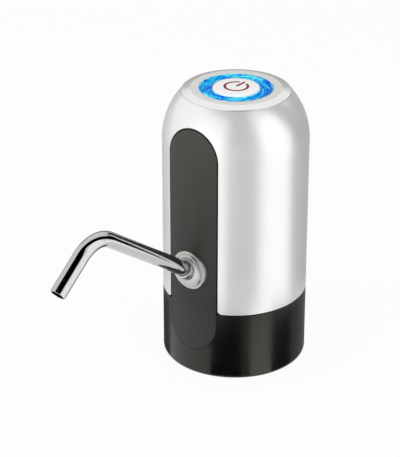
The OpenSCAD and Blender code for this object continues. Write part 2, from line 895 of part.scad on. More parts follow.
// Hose from the pump's outlet round to the spout's socket
module outlet_hose() {
  turn_r = (pump_y - barb_y) / 2;
  turn_x = pump_x - pump_r - barb_l;
  color([0.9, 0.9, 0.9, 0.8])
    difference() {
      outlet_line(hose_r, turn_r, turn_x, pump_x - pump_r - free_gap, -elbow_end_r - free_gap);
      outlet_line(hose_in_r, turn_r, turn_x, pump_x, 0);
      translate([pump_x - pump_side, pump_y, barb_z]) rotate([0, -90, 0]) barb(grip);
      translate([-elbow_end_r + 0.5, barb_y, barb_z]) rotate([0, -90, 0]) barb(grip);
    }
}

module outlet_line(r, turn_r, turn_x, pump_end, spout_end_x) {
  translate([turn_x, pump_y - turn_r, barb_z]) {
    rotate(90) rotate_extrude(angle = 180) translate([turn_r, 0]) circle(r);
    translate([0, turn_r, 0]) rotate([0, 90, 0]) cylinder(r = r, h = pump_end - turn_x);
    translate([0, -turn_r, 0]) rotate([0, 90, 0]) cylinder(r = r, h = spout_end_x - turn_x);
  }
}

// Motor

module motor_can() {
  color("silver")
    translate([drive[0], drive[1], motor_z + seat])
      difference() {
        union() {
          cylinder(r = can_r, h = motor_l - 2 * seat);
          translate([0, 0, -boss_h]) cylinder(r = boss_r, h = boss_h + 1);
        }
        translate([0, 0, can_t]) cylinder(r = can_r - can_t, h = big);
        translate([0, 0, -big / 2]) cylinder(r = bush_r, h = big);
      }
}

module motor_end_cap() {
  color("white")
    translate([drive[0], drive[1], end_cap_z])
      difference() {
        union() {
          cylinder(r = can_r, h = end_cap_t);
          translate([0, 0, -2.5]) cylinder(r = can_r - can_t - seat, h = 3);
        }
        translate([0, 0, -3]) cylinder(r = can_r - 2.6, h = 3.6);
        translate([0, 0, 0.5]) cylinder(r = bush_r, h = 1.9);
        for (side = [-1, 1])
          translate([side * terminal_x, 0, 0]) cube([2.4, 1, 20], center = true);
      }
}

module motor_magnets() {
  r_out = can_r - can_t - seat;
  color([0.25, 0.25, 0.28])
    translate([drive[0], drive[1], motor_z + 3])
      for (side = [0, 180])
        rotate(side) intersection() {
          tube(r_out, magnet_in_r, motor_l - 9);
          linear_extrude(motor_l) polygon([[0, 0], [2 * r_out, 2.4 * r_out], [2 * r_out, -2.4 * r_out]]);
        }
}

module motor_armature() {
  color("peru")
    translate([drive[0], drive[1], motor_z + 4])
      difference() {
        cylinder(r = armature_r, h = motor_l - 12);
        translate([0, 0, -1]) cylinder(r = shaft_r + press, h = motor_l);
        for (a = [0, 120, 240])
          rotate(a) translate([armature_r - 4, -0.8, -1]) cube([10, 1.6, motor_l]);
      }
}

module motor_commutator() {
  color("orange")
    translate([drive[0], drive[1], motor_z + motor_l - 6.5]) tube(commutator_r, shaft_r + press, 5);
}

module motor_shaft() {
  color("silver")
    translate([drive[0], drive[1], pump_z + 0.3])
      cylinder(r = shaft_r, h = end_cap_z + 2.2 - pump_z - 0.3);
}

module motor_bushes() {
  color("goldenrod")
    translate([drive[0], drive[1], 0]) {
      translate([0, 0, motor_z - boss_h + 0.2]) tube(bush_r - grip, shaft_r + run_gap, boss_h + 1);
      translate([0, 0, end_cap_z + 0.55]) tube(bush_r - grip, shaft_r + run_gap, 1.8);
    }
}

module motor_brushes() {
  color("sienna")
    translate([drive[0], drive[1], end_cap_z - 4.6])
      for (side = [0, 180])
        rotate(side) {
          translate([brush_x, -1.2, 0]) cube([1.2, 2.4, 3]);
          translate([brush_x + 1.2, -1, 0]) cube([0.4, 2, 5.1]);
        }
}

module motor_terminals() {
  color("gold")
    translate([drive[0], drive[1], end_cap_z])
      for (side = [-1, 1])
        translate([side * terminal_x, 0, 3.4]) cube([2.2, 0.8, 7], center = true);
}

// Cell

module battery_cell() {
  color("royalblue")
    translate([cell_at[0], cell_at[1], cell_z]) {
      cylinder(r = cell_r, h = cell_l - 1);
      cylinder(r = 3, h = cell_l);
    }
}

module battery_tabs() {
  color("silver")
    translate([cell_at[0], cell_at[1], 0]) {
      translate([-2.5, -2.5, cell_top + solder]) cube([5, 5, tab_t]);
      rotate(125) translate([-3, -2, plate_top + 0.05]) cube([17, 4, tab_t]);
    }
}

// Boards

module control_board() {
  color("darkgreen")
    translate([0, 0, board_top - board_t])
      difference() {
        cylinder(r = board_r, h = board_t);
        for (a = post_turns)
          rotate(a) translate([post_at, 0, -1]) cylinder(r = board_screw[0] + plug_gap, h = 4);
      }
}

module board_screws() {
  color("silver")
    for (a = post_turns)
      rotate(a) translate([post_at, 0, board_top - board_t - seat]) screw(board_screw, board_t + 3);
}

module switch_body() {
  side = 6;
  color([0.15, 0.15, 0.15])
    translate([0, 0, board_top + seat])
      difference() {
        translate([-side / 2, -side / 2, 0]) cube([side, side, switch_h]);
        translate([0, 0, switch_floor]) cylinder(r = plunger_r + run_gap, h = switch_h);
      }
}

module switch_plunger() {
  color("black")
    translate([0, 0, plunger_z]) cylinder(r = plunger_r, h = plunger_top - plunger_z);
}

module ring_leds() {
  color("lightcyan")
    for (a = [0:45:315])
      rotate(a + 22.5) translate([led_at - 1.4, -1.7, board_top + solder]) cube([2.8, 3.4, 1.1]);
}

module board_chips() {
  color([0.1, 0.1, 0.1])
    translate([0, 0, board_top - board_t - solder]) {
      translate([-3, -6, -1.6]) cube([6, 5, 1.6]);
      for (x = [-8, -5, 5, 8])
        translate([x - 0.8, 4, -0.9]) cube([1.6, 2.6, 0.9]);
    }
}

module charge_board() {
  color("darkgreen")
    translate([-charge_w / 2, charge_y[0], charge_z])
      cube([charge_w, charge_y[1] - charge_y[0], charge_t]);
}

module charge_chips() {
  color([0.1, 0.1, 0.1])
    translate([0, 0, charge_z - solder]) {
      translate([-2.5, 25, -1.6]) cube([5, 4, 1.6]);
      for (x = [-6.4, 4.8])
        translate([x, 26, -0.9]) cube([1.6, 2.6, 0.9]);
    }
}

module usb_socket() {
  wall = 0.3;
  color("silver")
    translate([-usb_w / 2, usb_y, usb_z])
      difference() {
        cube([usb_w, usb_l, usb_h]);
        translate([wall, wall, wall]) cube([usb_w - 2 * wall, usb_l, usb_h - 2 * wall]);
      }
}

module usb_tongue() {
  color([0.15, 0.15, 0.15])
    translate([-2, usb_y + 0.33, usb_z + 1.2]) cube([4, usb_l - 1.4, 0.6]);
}

module charge_light() {
  end_y = sqrt(pow(body_r, 2) - pow(light_x + light_r, 2)) - 0.1;
  color("lightgreen")
    translate([light_x, usb_y + 1, usb_z + usb_h / 2]) rotate([-90, 0, 0])
      cylinder(r = light_r, h = end_y - usb_y - 1);
}

// Wires

module battery_leads() {
  tab = cell_at + 12 * [cos(cell_turn + 150), sin(cell_turn + 150)];
  color("red")
    wire([
      [cell_at[0], cell_at[1], cell_top + 0.5], [cell_at[0], cell_at[1], cell_top + 2.5],
      [cell_at[0] - 3, cell_at[1] + 6, cell_top + 6],
      [17, 7, cell_top - 2], [14, 19, 76], [10, 24.6, 60], [9.2, 25, 52], [9.2, 25, lead_end]
    ], lead_r);
  color("black")
    wire([
      [tab[0], tab[1], plate_top + 0.6], [tab[0], tab[1], plate_top + 2.6], [12, 8, 33], [13, 16, 35],
      [8.5, 22.6, 39], [6.4, 24.2, 43], [6.4, 24.2, charge_z - 0.1]
    ], lead_r);
}

module motor_leads() {
  z = end_cap_z + 7;
  for (side = [-1, 1])
    color(side > 0 ? "red" : "black")
      wire([
        [drive[0] + side * terminal_x, drive[1] + 1, z], [drive[0] + side * terminal_x, drive[1] + 7, z + 2],
        [side * 5, drive[1] + 14.5, z - 6], [side * 5, 25.6, 80], [side * 5, 25.6, 60],
        [side * 5, 25, 51], [side * 5, 25, lead_end]
      ], lead_r);
}

module board_leads() {
  for (i = [0:2])
    color(["red", "black", "white"][i])
      wire([
        [-7 - 1.6 * i, 24.6, lead_end], [-7 - 1.6 * i, 24.6, 51], [-8 - 1.7 * i, 25.4, 62],
        [-10 - 1.7 * i, 24, 90], [-10 - 1.7 * i, 18, 112], [-9 - 1.7 * i, 12, board_top - board_t - 4],
        [-9 - 1.7 * i, 12, board_top - board_t - 0.2]
      ], lead_r);
}

outer_shell();
front_panel();
base_housing();
neck_sleeve();
neck_seal();
top_bezel();
light_ring();
power_button();
power_icon();
spout_collar();
spout_seals();
spout_tube();
outlet_elbow();
elbow_screws();
inlet_nipple();
inlet_gasket();
inlet_nut();
chassis();
base_screws();
pump_cover();
pump_gasket();
pump_body();
drive_gear();
idler_gear();
idler_pin();
shaft_seal();
pump_screws();
inlet_hose();
outlet_hose();
motor_can();
motor_end_cap();
motor_magnets();
motor_armature();
motor_commutator();
motor_shaft();
motor_bushes();
motor_brushes();
motor_terminals();
battery_cell();
battery_tabs();
control_board();
board_screws();
switch_body();
switch_plunger();
ring_leds();
board_chips();
charge_board();
charge_chips();
usb_socket();
usb_tongue();
charge_light();
battery_leads();
motor_leads();
board_leads();
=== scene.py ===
# %% [markdown]
# # An electric water jug pump
# The pump drops over the neck of a large water jug. A push button with a lit ring starts a small
# motor, and water leaves through a bent steel spout. The solid model of the pump gives every size
# and every joint, and this lesson dresses it: the pieces that show are modelled again with soft
# edges, the pieces inside keep their solids, and every piece gets a finish of its own.

# %% Load the solid model
import json
from math import asin, atan2, cos, pi, radians, sin, sqrt

import bmesh
import bpy
from mathutils import Matrix, Vector


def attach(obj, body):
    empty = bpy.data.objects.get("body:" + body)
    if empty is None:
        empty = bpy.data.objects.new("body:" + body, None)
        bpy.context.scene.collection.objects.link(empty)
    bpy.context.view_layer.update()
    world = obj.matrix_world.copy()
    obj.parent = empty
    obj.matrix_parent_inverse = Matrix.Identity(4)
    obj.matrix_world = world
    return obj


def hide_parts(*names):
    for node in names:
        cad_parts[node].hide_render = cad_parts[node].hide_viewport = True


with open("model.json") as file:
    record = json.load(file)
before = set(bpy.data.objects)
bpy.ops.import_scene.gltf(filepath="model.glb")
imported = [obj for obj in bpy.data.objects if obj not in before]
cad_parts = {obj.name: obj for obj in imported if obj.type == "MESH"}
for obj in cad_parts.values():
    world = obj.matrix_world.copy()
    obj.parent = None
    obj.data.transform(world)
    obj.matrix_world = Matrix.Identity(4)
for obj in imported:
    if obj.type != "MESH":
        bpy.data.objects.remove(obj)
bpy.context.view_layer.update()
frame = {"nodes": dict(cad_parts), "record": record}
scene = bpy.context.scene

# %% [markdown]
# ## Camera
# The photograph looks down on the pump from its front right. The place and lens come from the
# edges of the body and the rings at the top, which fix a camera well. A long lens keeps the
# upright sides nearly parallel, as they are in the photograph.

# %% Camera
camera_data = bpy.data.cameras.new("camera")
camera_data.lens = 147.3
camera_data.sensor_width = 36.0
camera = bpy.data.objects.new("camera", camera_data)
camera.location = (0.49354, -0.64551, 0.46683)
view_line = Vector((-0.558824, 0.700118, -0.444462))
camera.rotation_euler = view_line.to_track_quat("-Z", "Y").to_euler()
scene.collection.objects.link(camera)
scene.camera = camera
VIEW_TURN = atan2(camera.location.x, -camera.location.y)
print("camera at", tuple(camera.location))

# %% [markdown]
# ## Modelling in millimetres
# Small parts are easier to think about in millimetres, so each mesh is made in them and scaled
# once at the end. A finished mesh has its doubles merged and its faces turned outwards. Corners
# sharper than a set angle stay sharp, and a weighted normal modifier keeps wide faces flat next to
# narrow rounded edges, which is what makes a moulded edge look crisp.

# %% Helpers for every piece
MM = 0.001
MERGE, CLOSE = 0.004, 0.01
pieces = {}


def finish_piece(name, bm, body, nodes, slot, sharp=40):
    """Makes a piece of a mesh in millimetres, which rides on a body and stands for its solids."""
    bmesh.ops.remove_doubles(bm, verts=bm.verts, dist=MERGE)
    bmesh.ops.recalc_face_normals(bm, faces=bm.faces)
    bmesh.ops.scale(bm, vec=(MM, MM, MM), verts=bm.verts)
    mesh = bpy.data.meshes.new(name)
    bm.to_mesh(mesh)
    bm.free()
    mesh.shade_smooth()
    mesh.set_sharp_from_angle(angle=radians(sharp))
    piece = bpy.data.objects.new(name, mesh)
    scene.collection.objects.link(piece)
    even = piece.modifiers.new("even shading", "WEIGHTED_NORMAL")
    even.keep_sharp = True
    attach(piece, body)
    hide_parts(*nodes)
    pieces[name] = (piece, slot)
    print(name, len(mesh.polygons), "faces")


def bevel(bm, edges, width, segments):
    bmesh.ops.bevel(
        bm, geom=edges, offset=width, offset_type="OFFSET", segments=segments, profile=0.5,
        affect="EDGES", clamp_overlap=True, material=-1,
    )


def soften(bm, width, angle=40, segments=3, only=None):
    """Turns the faces outwards and bevels the edges that are sharper than an angle."""
    bmesh.ops.recalc_face_normals(bm, faces=bm.faces)
    edges = [
        e for e in bm.edges
        if e.is_manifold and e.calc_face_angle() > radians(angle) and (only is None or only(e))
    ]
    bevel(bm, edges, width, segments)


def extend(bm, edges, place):
    """Extrudes a line of edges and puts each new point where place says."""
    grown = bmesh.ops.extrude_edge_only(bm, edges=edges)["geom"]
    points = {v for v in grown if isinstance(v, bmesh.types.BMVert)}
    for v in points:
        v.co = place(v.co.copy())
    return [e for e in grown if isinstance(e, bmesh.types.BMEdge) and points.issuperset(e.verts)]


def open_edges(bm, where=lambda v: True):
    return [e for e in bm.edges if e.is_boundary and all(where(v.co) for v in e.verts)]


# %% [markdown]
# ## A grid that follows the window
# The body is an upright cylinder that closes in a round shoulder, and its front has a tall window
# with an arched top. A cut through a finished cylinder leaves ragged faces along the arch. Here a
# flat grid is laid on the form instead: every row starts on the window's edge and ends on a far
# line, so the edge is one clean loop that takes a bevel. Shell, panel and base all use it.

# %% The grid on the body's form
BODY_R = 35.0
DOME_Z = 112.3


def ring_radius(radius, z):
    return sqrt(radius ** 2 - max(z - DOME_Z, 0.0) ** 2)


def run_up(radius, z):
    """How far up the wall a height lies, measured along its curve."""
    return z if z <= DOME_Z else DOME_Z + radius * asin((z - DOME_Z) / radius)


def height(radius, m):
    """The height of a point this far up along the wall."""
    return m if m <= DOME_Z else DOME_Z + radius * sin((m - DOME_Z) / radius)


def on_form(radius, x, z):
    return Vector((x, -sqrt(ring_radius(radius, z) ** 2 - x ** 2), z))


def lay_grid(bm, radius_at, edge, far, first, shares):
    """edge holds (x, z), far holds (turn, z), first is the width of the first column."""
    rows, columns = len(edge) - 1, len(shares)
    grid = bmesh.ops.create_grid(bm, x_segments=columns, y_segments=rows, size=1.0)
    for v in grid["verts"]:
        row = round((v.co.y + 1) / 2 * rows)
        column = round((v.co.x + 1) / 2 * columns)
        x, z = edge[row]
        radius = radius_at(z)
        turn, m = asin(x / ring_radius(radius, z)), run_up(radius, z)
        turn_far, m_far = far[row][0], run_up(radius, far[row][1])
        run = sqrt((radius * (turn_far - turn)) ** 2 + (m_far - m) ** 2)
        start = min(first / run, 0.5)
        share = 0.0 if column == 0 else start + (1 - start) * shares[column - 1]
        turn += (turn_far - turn) * share
        z = height(radius, m + (m_far - m) * share)
        r = ring_radius(radius, z)
        v.co = Vector((r * sin(turn), -r * cos(turn), z))
    return grid["verts"]


def mirror_across(bm, points):
    """Copies the faces on these points to the other side."""
    faces = {f for v in points for f in v.link_faces}
    edges = {e for f in faces for e in f.edges}
    bmesh.ops.mirror(
        bm, geom=[*points, *edges, *faces], matrix=Matrix.Identity(4), merge_dist=MERGE, axis="X")


def steps(start, end, count):
    """The points between two values, without the first."""
    return [start + (end - start) * (i + 1) / count for i in range(count)]


# %% [markdown]
# ## Shell
# The pearl white shell is one thin moulding with the window in front, a charging socket's recess
# at the back and an open mouth at the top. It is an outer and an inner grid, bridged at the rims.
# The two corners beside the seam are rounded first, and then every rim gets a narrow bevel.

# %% Shell
WINDOW = 14.35
ARCH_Z = 112.5
LOW_ARCH_Z = 26.8
SHELL_LOW = 34.8
SHELL_TOP = 135.95
SHELL_IN = 33.24
CORNER_R = 2.0
USB_X, USB_Z = 4.15, (46.85, 50.35)
RECESS_X, RECESS_Z = 5.75, (45.25, 51.95)
LIGHT_X, LIGHT_Z = 8.2, 48.6
LIGHT_PATCH = (6.45, 9.95)
rows_up = [SHELL_LOW, 37.3, 40.0, 42.6, RECESS_Z[0], USB_Z[0]]
rows_up += steps(*USB_Z, 4) + [RECESS_Z[1]]
rows_up += steps(RECESS_Z[1], ARCH_Z, 16)
ARCH_STEPS, BACK_STEPS, SIDE_STEPS = 60, 14, 30


def window_arch(half_width, centre, rise, count):
    turns = steps(0, pi / 2, count)
    return [(half_width * cos(a), centre + rise * half_width * sin(a)) for a in turns]


def shell_wall(bm, radius):
    back = [LIGHT_PATCH[1], 9.075, LIGHT_X, 7.325, LIGHT_PATCH[0], RECESS_X, USB_X, 2.0, 0.0]
    first = 2.5
    near = asin(WINDOW / radius) + first / radius
    turns = [near] + steps(near, pi - asin(back[0] / radius), SIDE_STEPS)
    turns += [pi - asin(x / radius) for x in back[1:]]
    shares = [(t - near) / (pi - near) for t in turns]
    edge = [(WINDOW, z) for z in rows_up] + window_arch(WINDOW, ARCH_Z, 1, ARCH_STEPS)
    top = run_up(radius, SHELL_TOP)
    far = [(pi, z) for z in rows_up]
    far += [(pi, height(radius, m)) for m in steps(ARCH_Z, top, BACK_STEPS)]
    far += [(t, SHELL_TOP) for t in steps(pi, 0.0, ARCH_STEPS - BACK_STEPS)]
    return lay_grid(bm, lambda z: radius, edge, far, first, shares)


bm = bmesh.new()
for wall in (BODY_R, SHELL_IN):
    mirror_across(bm, shell_wall(bm, wall))
for rim in (lambda p: p.z > SHELL_TOP - CLOSE, lambda p: p.z < SHELL_TOP - CLOSE):
    bmesh.ops.bridge_loops(bm, edges=open_edges(bm, rim))


def at_corner(p):
    return abs(abs(p.x) - WINDOW) < CLOSE and p.z < SHELL_LOW + CLOSE and p.y < 0


corners = [e for e in bm.edges if all(at_corner(v.co) for v in e.verts)]
bevel(bm, corners, width=CORNER_R, segments=8)
soften(bm, width=0.3, angle=50)
print("shell wall with", len(corners), "rounded corners and", len(bm.faces), "faces")

# %% [markdown]
# The socket's recess is pushed in from the outer wall, and its slot goes through to the inside.
# The small round hole beside it lets the charge light through. Both are made from cells that the
# grid already has, so nothing is cut.

# %% Charging recess at the back
RECESS_Y = 34.1
LIGHT_HOLE = 1.15
CELL_REACH = 0.75


def cells(bm, low_x, high_x, low_z, high_z, near_y):
    """The faces whose middle lies in this block of the wall at y."""
    found = []
    for f in bm.faces:
        middle = f.calc_center_median()
        if low_x < middle.x < high_x and low_z < middle.z < high_z and abs(middle.y - near_y) < CELL_REACH:
            found.append(f)
    return found


recess = cells(bm, -RECESS_X, RECESS_X, *RECESS_Z, BODY_R - 0.15)
pushed = bmesh.ops.extrude_face_region(bm, geom=recess)["geom"]
bmesh.ops.delete(bm, geom=recess, context="FACES")
for v in pushed:
    if isinstance(v, bmesh.types.BMVert):
        v.co.y = RECESS_Y
for wall_y in (RECESS_Y, SHELL_IN - 0.1):
    bmesh.ops.delete(bm, geom=cells(bm, -USB_X, USB_X, *USB_Z, wall_y), context="FACES")
bmesh.ops.bridge_loops(bm, edges=open_edges(bm))
for wall in (BODY_R, SHELL_IN):
    near_y = sqrt(wall ** 2 - LIGHT_X ** 2)
    patch = cells(bm, *LIGHT_PATCH, *USB_Z, near_y)
    bmesh.ops.delete(bm, geom=patch, context="FACES")

    def round_hole(p, wall=wall):
        a = atan2(p.x - LIGHT_X, p.z - LIGHT_Z)
        x = LIGHT_X + LIGHT_HOLE * sin(a)
        return Vector((x, sqrt(wall ** 2 - x ** 2), LIGHT_Z + LIGHT_HOLE * cos(a)))

    edge = open_edges(bm, lambda p: abs(p.y - near_y) < CELL_REACH and p.x > RECESS_X)
    extend(bm, edge, round_hole)


def at_recess(e):
    return all(v.co.y > 33 and 45 < v.co.z < 52.2 for v in e.verts)


bmesh.ops.bridge_loops(bm, edges=open_edges(bm))
soften(bm, width=0.15, angle=50, segments=2, only=at_recess)
finish_piece("shell", bm, "housing", ["outer_shell"], "shell_white")

# %% [markdown]
# ## Front panel
# The dark panel fills the window with a thin open line round it, and its lower end is a tongue in
# the base. Its outer face lies on the same form as the shell. The rim is carried in, steps out as
# a flange behind the shell, and meets the inner face.

# %% Front panel
PANEL = 13.65
PANEL_WALL, TONGUE_WALL = 3.2, 1.9
PANEL_RIM, TONGUE_RIM = 2.15, 1.0
FLANGE = 2.0
STEP_Z = 41.1
HOLE_Z = (45.5, 64.5)
panel_rows = steps(LOW_ARCH_Z, STEP_Z - 0.1, 6) + [STEP_Z + 0.1, HOLE_Z[0]]
panel_rows += steps(*HOLE_Z, 10) + steps(HOLE_Z[1], ARCH_Z, 18)
low_turns = [-pi / 2] + steps(-pi / 2, 0.0, 30)
top_turns = steps(0.0, pi / 2, 30)


def panel_edge():
    low = [(max(PANEL * cos(a), 0.0), LOW_ARCH_Z + PANEL * sin(a)) for a in low_turns]
    top = [(max(PANEL * cos(a), 0.0), ARCH_Z + PANEL * sin(a)) for a in top_turns]
    return low + [(PANEL, z) for z in panel_rows] + top


def panel_line():
    middle = [(0.0, LOW_ARCH_Z + 0.5 * PANEL * sin(a)) for a in low_turns]
    middle += [(0.0, z) for z in panel_rows]
    return middle + [(0.0, ARCH_Z + 0.5 * PANEL * sin(a)) for a in top_turns]


def panel_back(z):
    return BODY_R - (PANEL_WALL if z > STEP_Z else TONGUE_WALL)


def panel_rim(z):
    return BODY_R - (PANEL_RIM if z > STEP_Z else TONGUE_RIM)


def flange(p):
    """A rim point moved outwards in the plane of the window."""
    if p.z < STEP_Z:
        return p.x, p.z
    out = Vector((p.x, max(p.z - ARCH_Z, 0.0))).normalized() * FLANGE
    return p.x + out.x, p.z + out.y


panel_shares = [0.0, 0.12, 0.24, 0.3486, 0.5, 0.66, 0.83, 1.0]
bm = bmesh.new()
mirror_across(bm, lay_grid(bm, lambda z: BODY_R, panel_edge(), panel_line(), 1.0, panel_shares))
rim = open_edges(bm)
rim = extend(bm, rim, lambda p: on_form(panel_rim(p.z), p.x, p.z))
rim = extend(bm, rim, lambda p: on_form(panel_rim(p.z), *flange(p)))
extend(bm, rim, lambda p: on_form(panel_back(p.z), p.x, p.z))
inner = [flange(Vector((x, 0.0, z))) for x, z in panel_edge()]
mirror_across(bm, lay_grid(bm, panel_back, inner, panel_line(), 1.0, panel_shares))
bmesh.ops.remove_doubles(bm, verts=bm.verts, dist=0.02)
print("panel open edges", len(open_edges(bm)))

# %% [markdown]
# The spout leans upwards, so its hole in the panel does too. A block of cells is taken out of the
# outer and the inner face, each edge is drawn in to a round one along the spout's own line, and the
# two are bridged.

# %% The spout's hole in the panel
SPOUT_AT = Vector((0.0, -35.8, 55.6))
SPOUT_LEAN = radians(34.4)
SPOUT_LINE = Vector((0.0, -cos(SPOUT_LEAN), sin(SPOUT_LEAN)))
SPOUT_UP = Vector((0.0, sin(SPOUT_LEAN), cos(SPOUT_LEAN)))
SIDE = Vector((1.0, 0.0, 0.0))
HOLE_R = 6.2
HOLE_X = 8.4
FACE_REACH = 0.3


def spout_bore(radius, p, y):
    """The point of the spout's own cylinder at this turn that has the given y."""
    a = atan2(p.x, (p.z - SPOUT_AT.z) * SPOUT_UP.z)
    ring = SPOUT_AT + radius * (cos(a) * SPOUT_UP + sin(a) * SIDE)
    return ring + SPOUT_LINE * ((y(ring.x) - ring.y) / SPOUT_LINE.y)


def at_hole(p, r):
    in_block = abs(p.x) < HOLE_X * r / BODY_R and HOLE_Z[0] < p.z < HOLE_Z[1]
    return in_block and abs(p.xy.length - r) < FACE_REACH


def on_outer_face(e):
    return all(abs(ring_radius(BODY_R, v.co.z) - v.co.xy.length) < 0.02 for v in e.verts)


for depth in (0.0, PANEL_WALL):
    r = BODY_R - depth
    block = [f for f in bm.faces if at_hole(f.calc_center_median(), r)]
    bmesh.ops.delete(bm, geom=block, context="FACES")
    edge = open_edges(bm, lambda p: abs(p.xy.length - r) < FACE_REACH)
    extend(bm, edge, lambda p: spout_bore(HOLE_R, p, lambda x: -sqrt(r ** 2 - x ** 2)))
bmesh.ops.bridge_loops(bm, edges=open_edges(bm))
soften(bm, width=0.15, only=on_outer_face)
finish_piece("panel", bm, "housing", ["front_panel"], "panel_grey")

# %% [markdown]
# ## Base
# The black base is a cup with a round notch for the panel's tongue. The same grid runs from the
# notch round to the back and down to the bottom edge, and each open loop is then extended: down
# and under to the bore and the floor above the jug's neck, and in and up to the rim inside the
# shell. Behind the notch lies a floor that the tongue rests on.

# %% Base
BASE_TOP = 34.5
BASE_ROUND = 1.5
DECK = (20.05, 22.55)
NOTCH_R = 32.95
RIM_R = 32.85
CUP_R = 31.0
NOTCH = PANEL + 0.1
U_STEPS, U_BACK = 62, 14
base_rows = [BASE_TOP, 32.0, 29.4, LOW_ARCH_Z]
base_edge = [(NOTCH, z) for z in base_rows] + window_arch(NOTCH, LOW_ARCH_Z, -1, U_STEPS)
base_far = [(pi, z) for z in base_rows] + [(pi, z) for z in steps(LOW_ARCH_Z, BASE_ROUND, U_BACK)]
base_far += [(t, BASE_ROUND) for t in steps(pi, 0.0, U_STEPS - U_BACK)]
notch_far = [(0.0, z) for z in base_rows]
notch_far += [(0.0, LOW_ARCH_Z - 0.5 * NOTCH * sin(a)) for a in steps(0, pi / 2, U_STEPS)]
base_shares = [0.0] + steps(0.0, 1.0, 40)
notch_shares = [0.0] + steps(0.0, 1.0, 10)
under_loops = [
    (31.4, 0.0), (31.1, 0.1), (CUP_R, 0.4), (CUP_R, DECK[0]), (24.0, DECK[0]), (12.0, DECK[0]),
    (2.0, DECK[0]),
]
rim_loops = [
    (RIM_R, 35.0), (RIM_R, 40.1), (32.5, 40.5), (CUP_R, 40.5), (CUP_R, DECK[1]), (16.0, DECK[1]),
    (2.0, DECK[1]),
]


def turned_to(radius, z):
    """Moves a point to a ring of this radius at this height."""
    return lambda p: Vector((*(p.xy.normalized() * radius), z))


bm = bmesh.new()
mirror_across(bm, lay_grid(bm, lambda z: BODY_R, base_edge, base_far, 2.5, base_shares))
bottom = open_edges(bm, lambda p: p.z < BASE_ROUND + CLOSE)
for a in steps(0.0, pi / 2, 6):
    r, z = BODY_R - BASE_ROUND + BASE_ROUND * cos(a), BASE_ROUND - BASE_ROUND * sin(a)
    bottom = extend(bm, bottom, turned_to(r, z))
for r, z in under_loops:
    bottom = extend(bm, bottom, turned_to(r, z))
bmesh.ops.contextual_create(bm, geom=bottom)


def ledge(p):
    on_notch = abs(p.x) < NOTCH + CLOSE and p.y < 0
    return on_form(NOTCH_R, p.x, p.z) if on_notch else turned_to(RIM_R, p.z)(p)


def on_upper_wall(e):
    return all(v.co.xy.length > BODY_R - 0.02 and v.co.z > 5 for v in e.verts)


extend(bm, open_edges(bm), ledge)
mirror_across(bm, lay_grid(bm, lambda z: NOTCH_R, base_edge, notch_far, 1.0, notch_shares))
bmesh.ops.remove_doubles(bm, verts=bm.verts, dist=CLOSE)
rim = open_edges(bm)
for r, z in rim_loops:
    rim = extend(bm, rim, turned_to(r, z))
bmesh.ops.contextual_create(bm, geom=rim)
soften(bm, width=0.12, only=on_upper_wall)
print("base open edges", len(open_edges(bm)))
finish_piece("base", bm, "housing", ["base_housing"], "base_black")

# %% [markdown]
# ## Turned pieces
# Everything at the top is round, so a profile is drawn as a line of points and spun once about an
# axis. Points on the axis fall together and are merged. The edges are rounded after the spin,
# where they are whole circles.

# %% Spinning a profile
UP = Vector((0.0, 0.0, 1.0))


def spin_profile(bm, profile, at=Vector(), axis=UP, closed=True, count=96):
    """Spins a line of (radius, height) points about an axis."""
    points = [bm.verts.new(at + SIDE * r + axis * h) for r, h in profile]
    ends = list(zip(points, points[1:] + (points[:1] if closed else [])))
    lines = [bm.edges.new(pair) for pair in ends]
    bmesh.ops.spin(bm, geom=points + lines, cent=at, axis=axis, dvec=(0, 0, 0), angle=2 * pi,
                   steps=count, use_merge=True)
    bmesh.ops.remove_doubles(bm, verts=bm.verts, dist=0.002)


# %% [markdown]
# The bevelled ring carries the lit ring and guides the button. Its outer face slopes down to the
# shell with a narrow upright edge. The button stands half a millimetre proud, with a well rounded
# edge and a face that is a little crowned.

# %% Top ring, lit ring and button
bm = bmesh.new()
spin_profile(bm, [
    (17.6, 134.2), (17.6, 137.5), (21.6, 137.5), (25.78, 136.4), (25.78, 136.0), (23.2, 136.0),
    (23.2, 132.6), (21.7, 132.6), (21.7, 133.6), (18.95, 133.6), (18.95, 134.2),
], count=128)
soften(bm, width=0.18, angle=10)
finish_piece("top_ring", bm, "housing", ["top_bezel"], "bezel_white")

bm = bmesh.new()
spin_profile(bm, [
    (11.6, 133.2), (18.8, 133.2), (18.8, 134.1), (17.45, 134.1), (17.45, 137.2), (17.36, 137.32),
    (17.2, 137.28), (16.95, 136.8), (16.6, 136.45), (16.1, 136.25), (14.5, 136.2), (13.0, 136.25),
    (12.5, 136.45), (12.15, 136.8), (11.9, 137.18), (11.75, 137.22), (11.62, 137.1),
], count=128)
finish_piece("lit_ring", bm, "housing", ["light_ring"], "light_blue")

bm = bmesh.new()
spin_profile(bm, [
    (0.0, 138.0), (3.0, 138.0), (6.5, 138.0), (9.0, 137.97), (10.2, 137.9), (10.75, 137.78),
    (11.1, 137.55), (11.26, 137.25), (11.3, 136.8), (11.3, 133.1), (12.9, 133.1), (12.9, 132.0),
    (9.6, 132.0), (9.6, 136.2), (2.2, 136.2), (2.2, 133.25), (0.0, 133.25),
], closed=False, count=128)
finish_piece("button", bm, "button", ["power_button"], "bezel_white")

# %% [markdown]
# The power sign on the button is a broken ring and a bar, as on any such button. The ring is a
# small square section spun through most of a turn, and the bar a block with rounded corners.

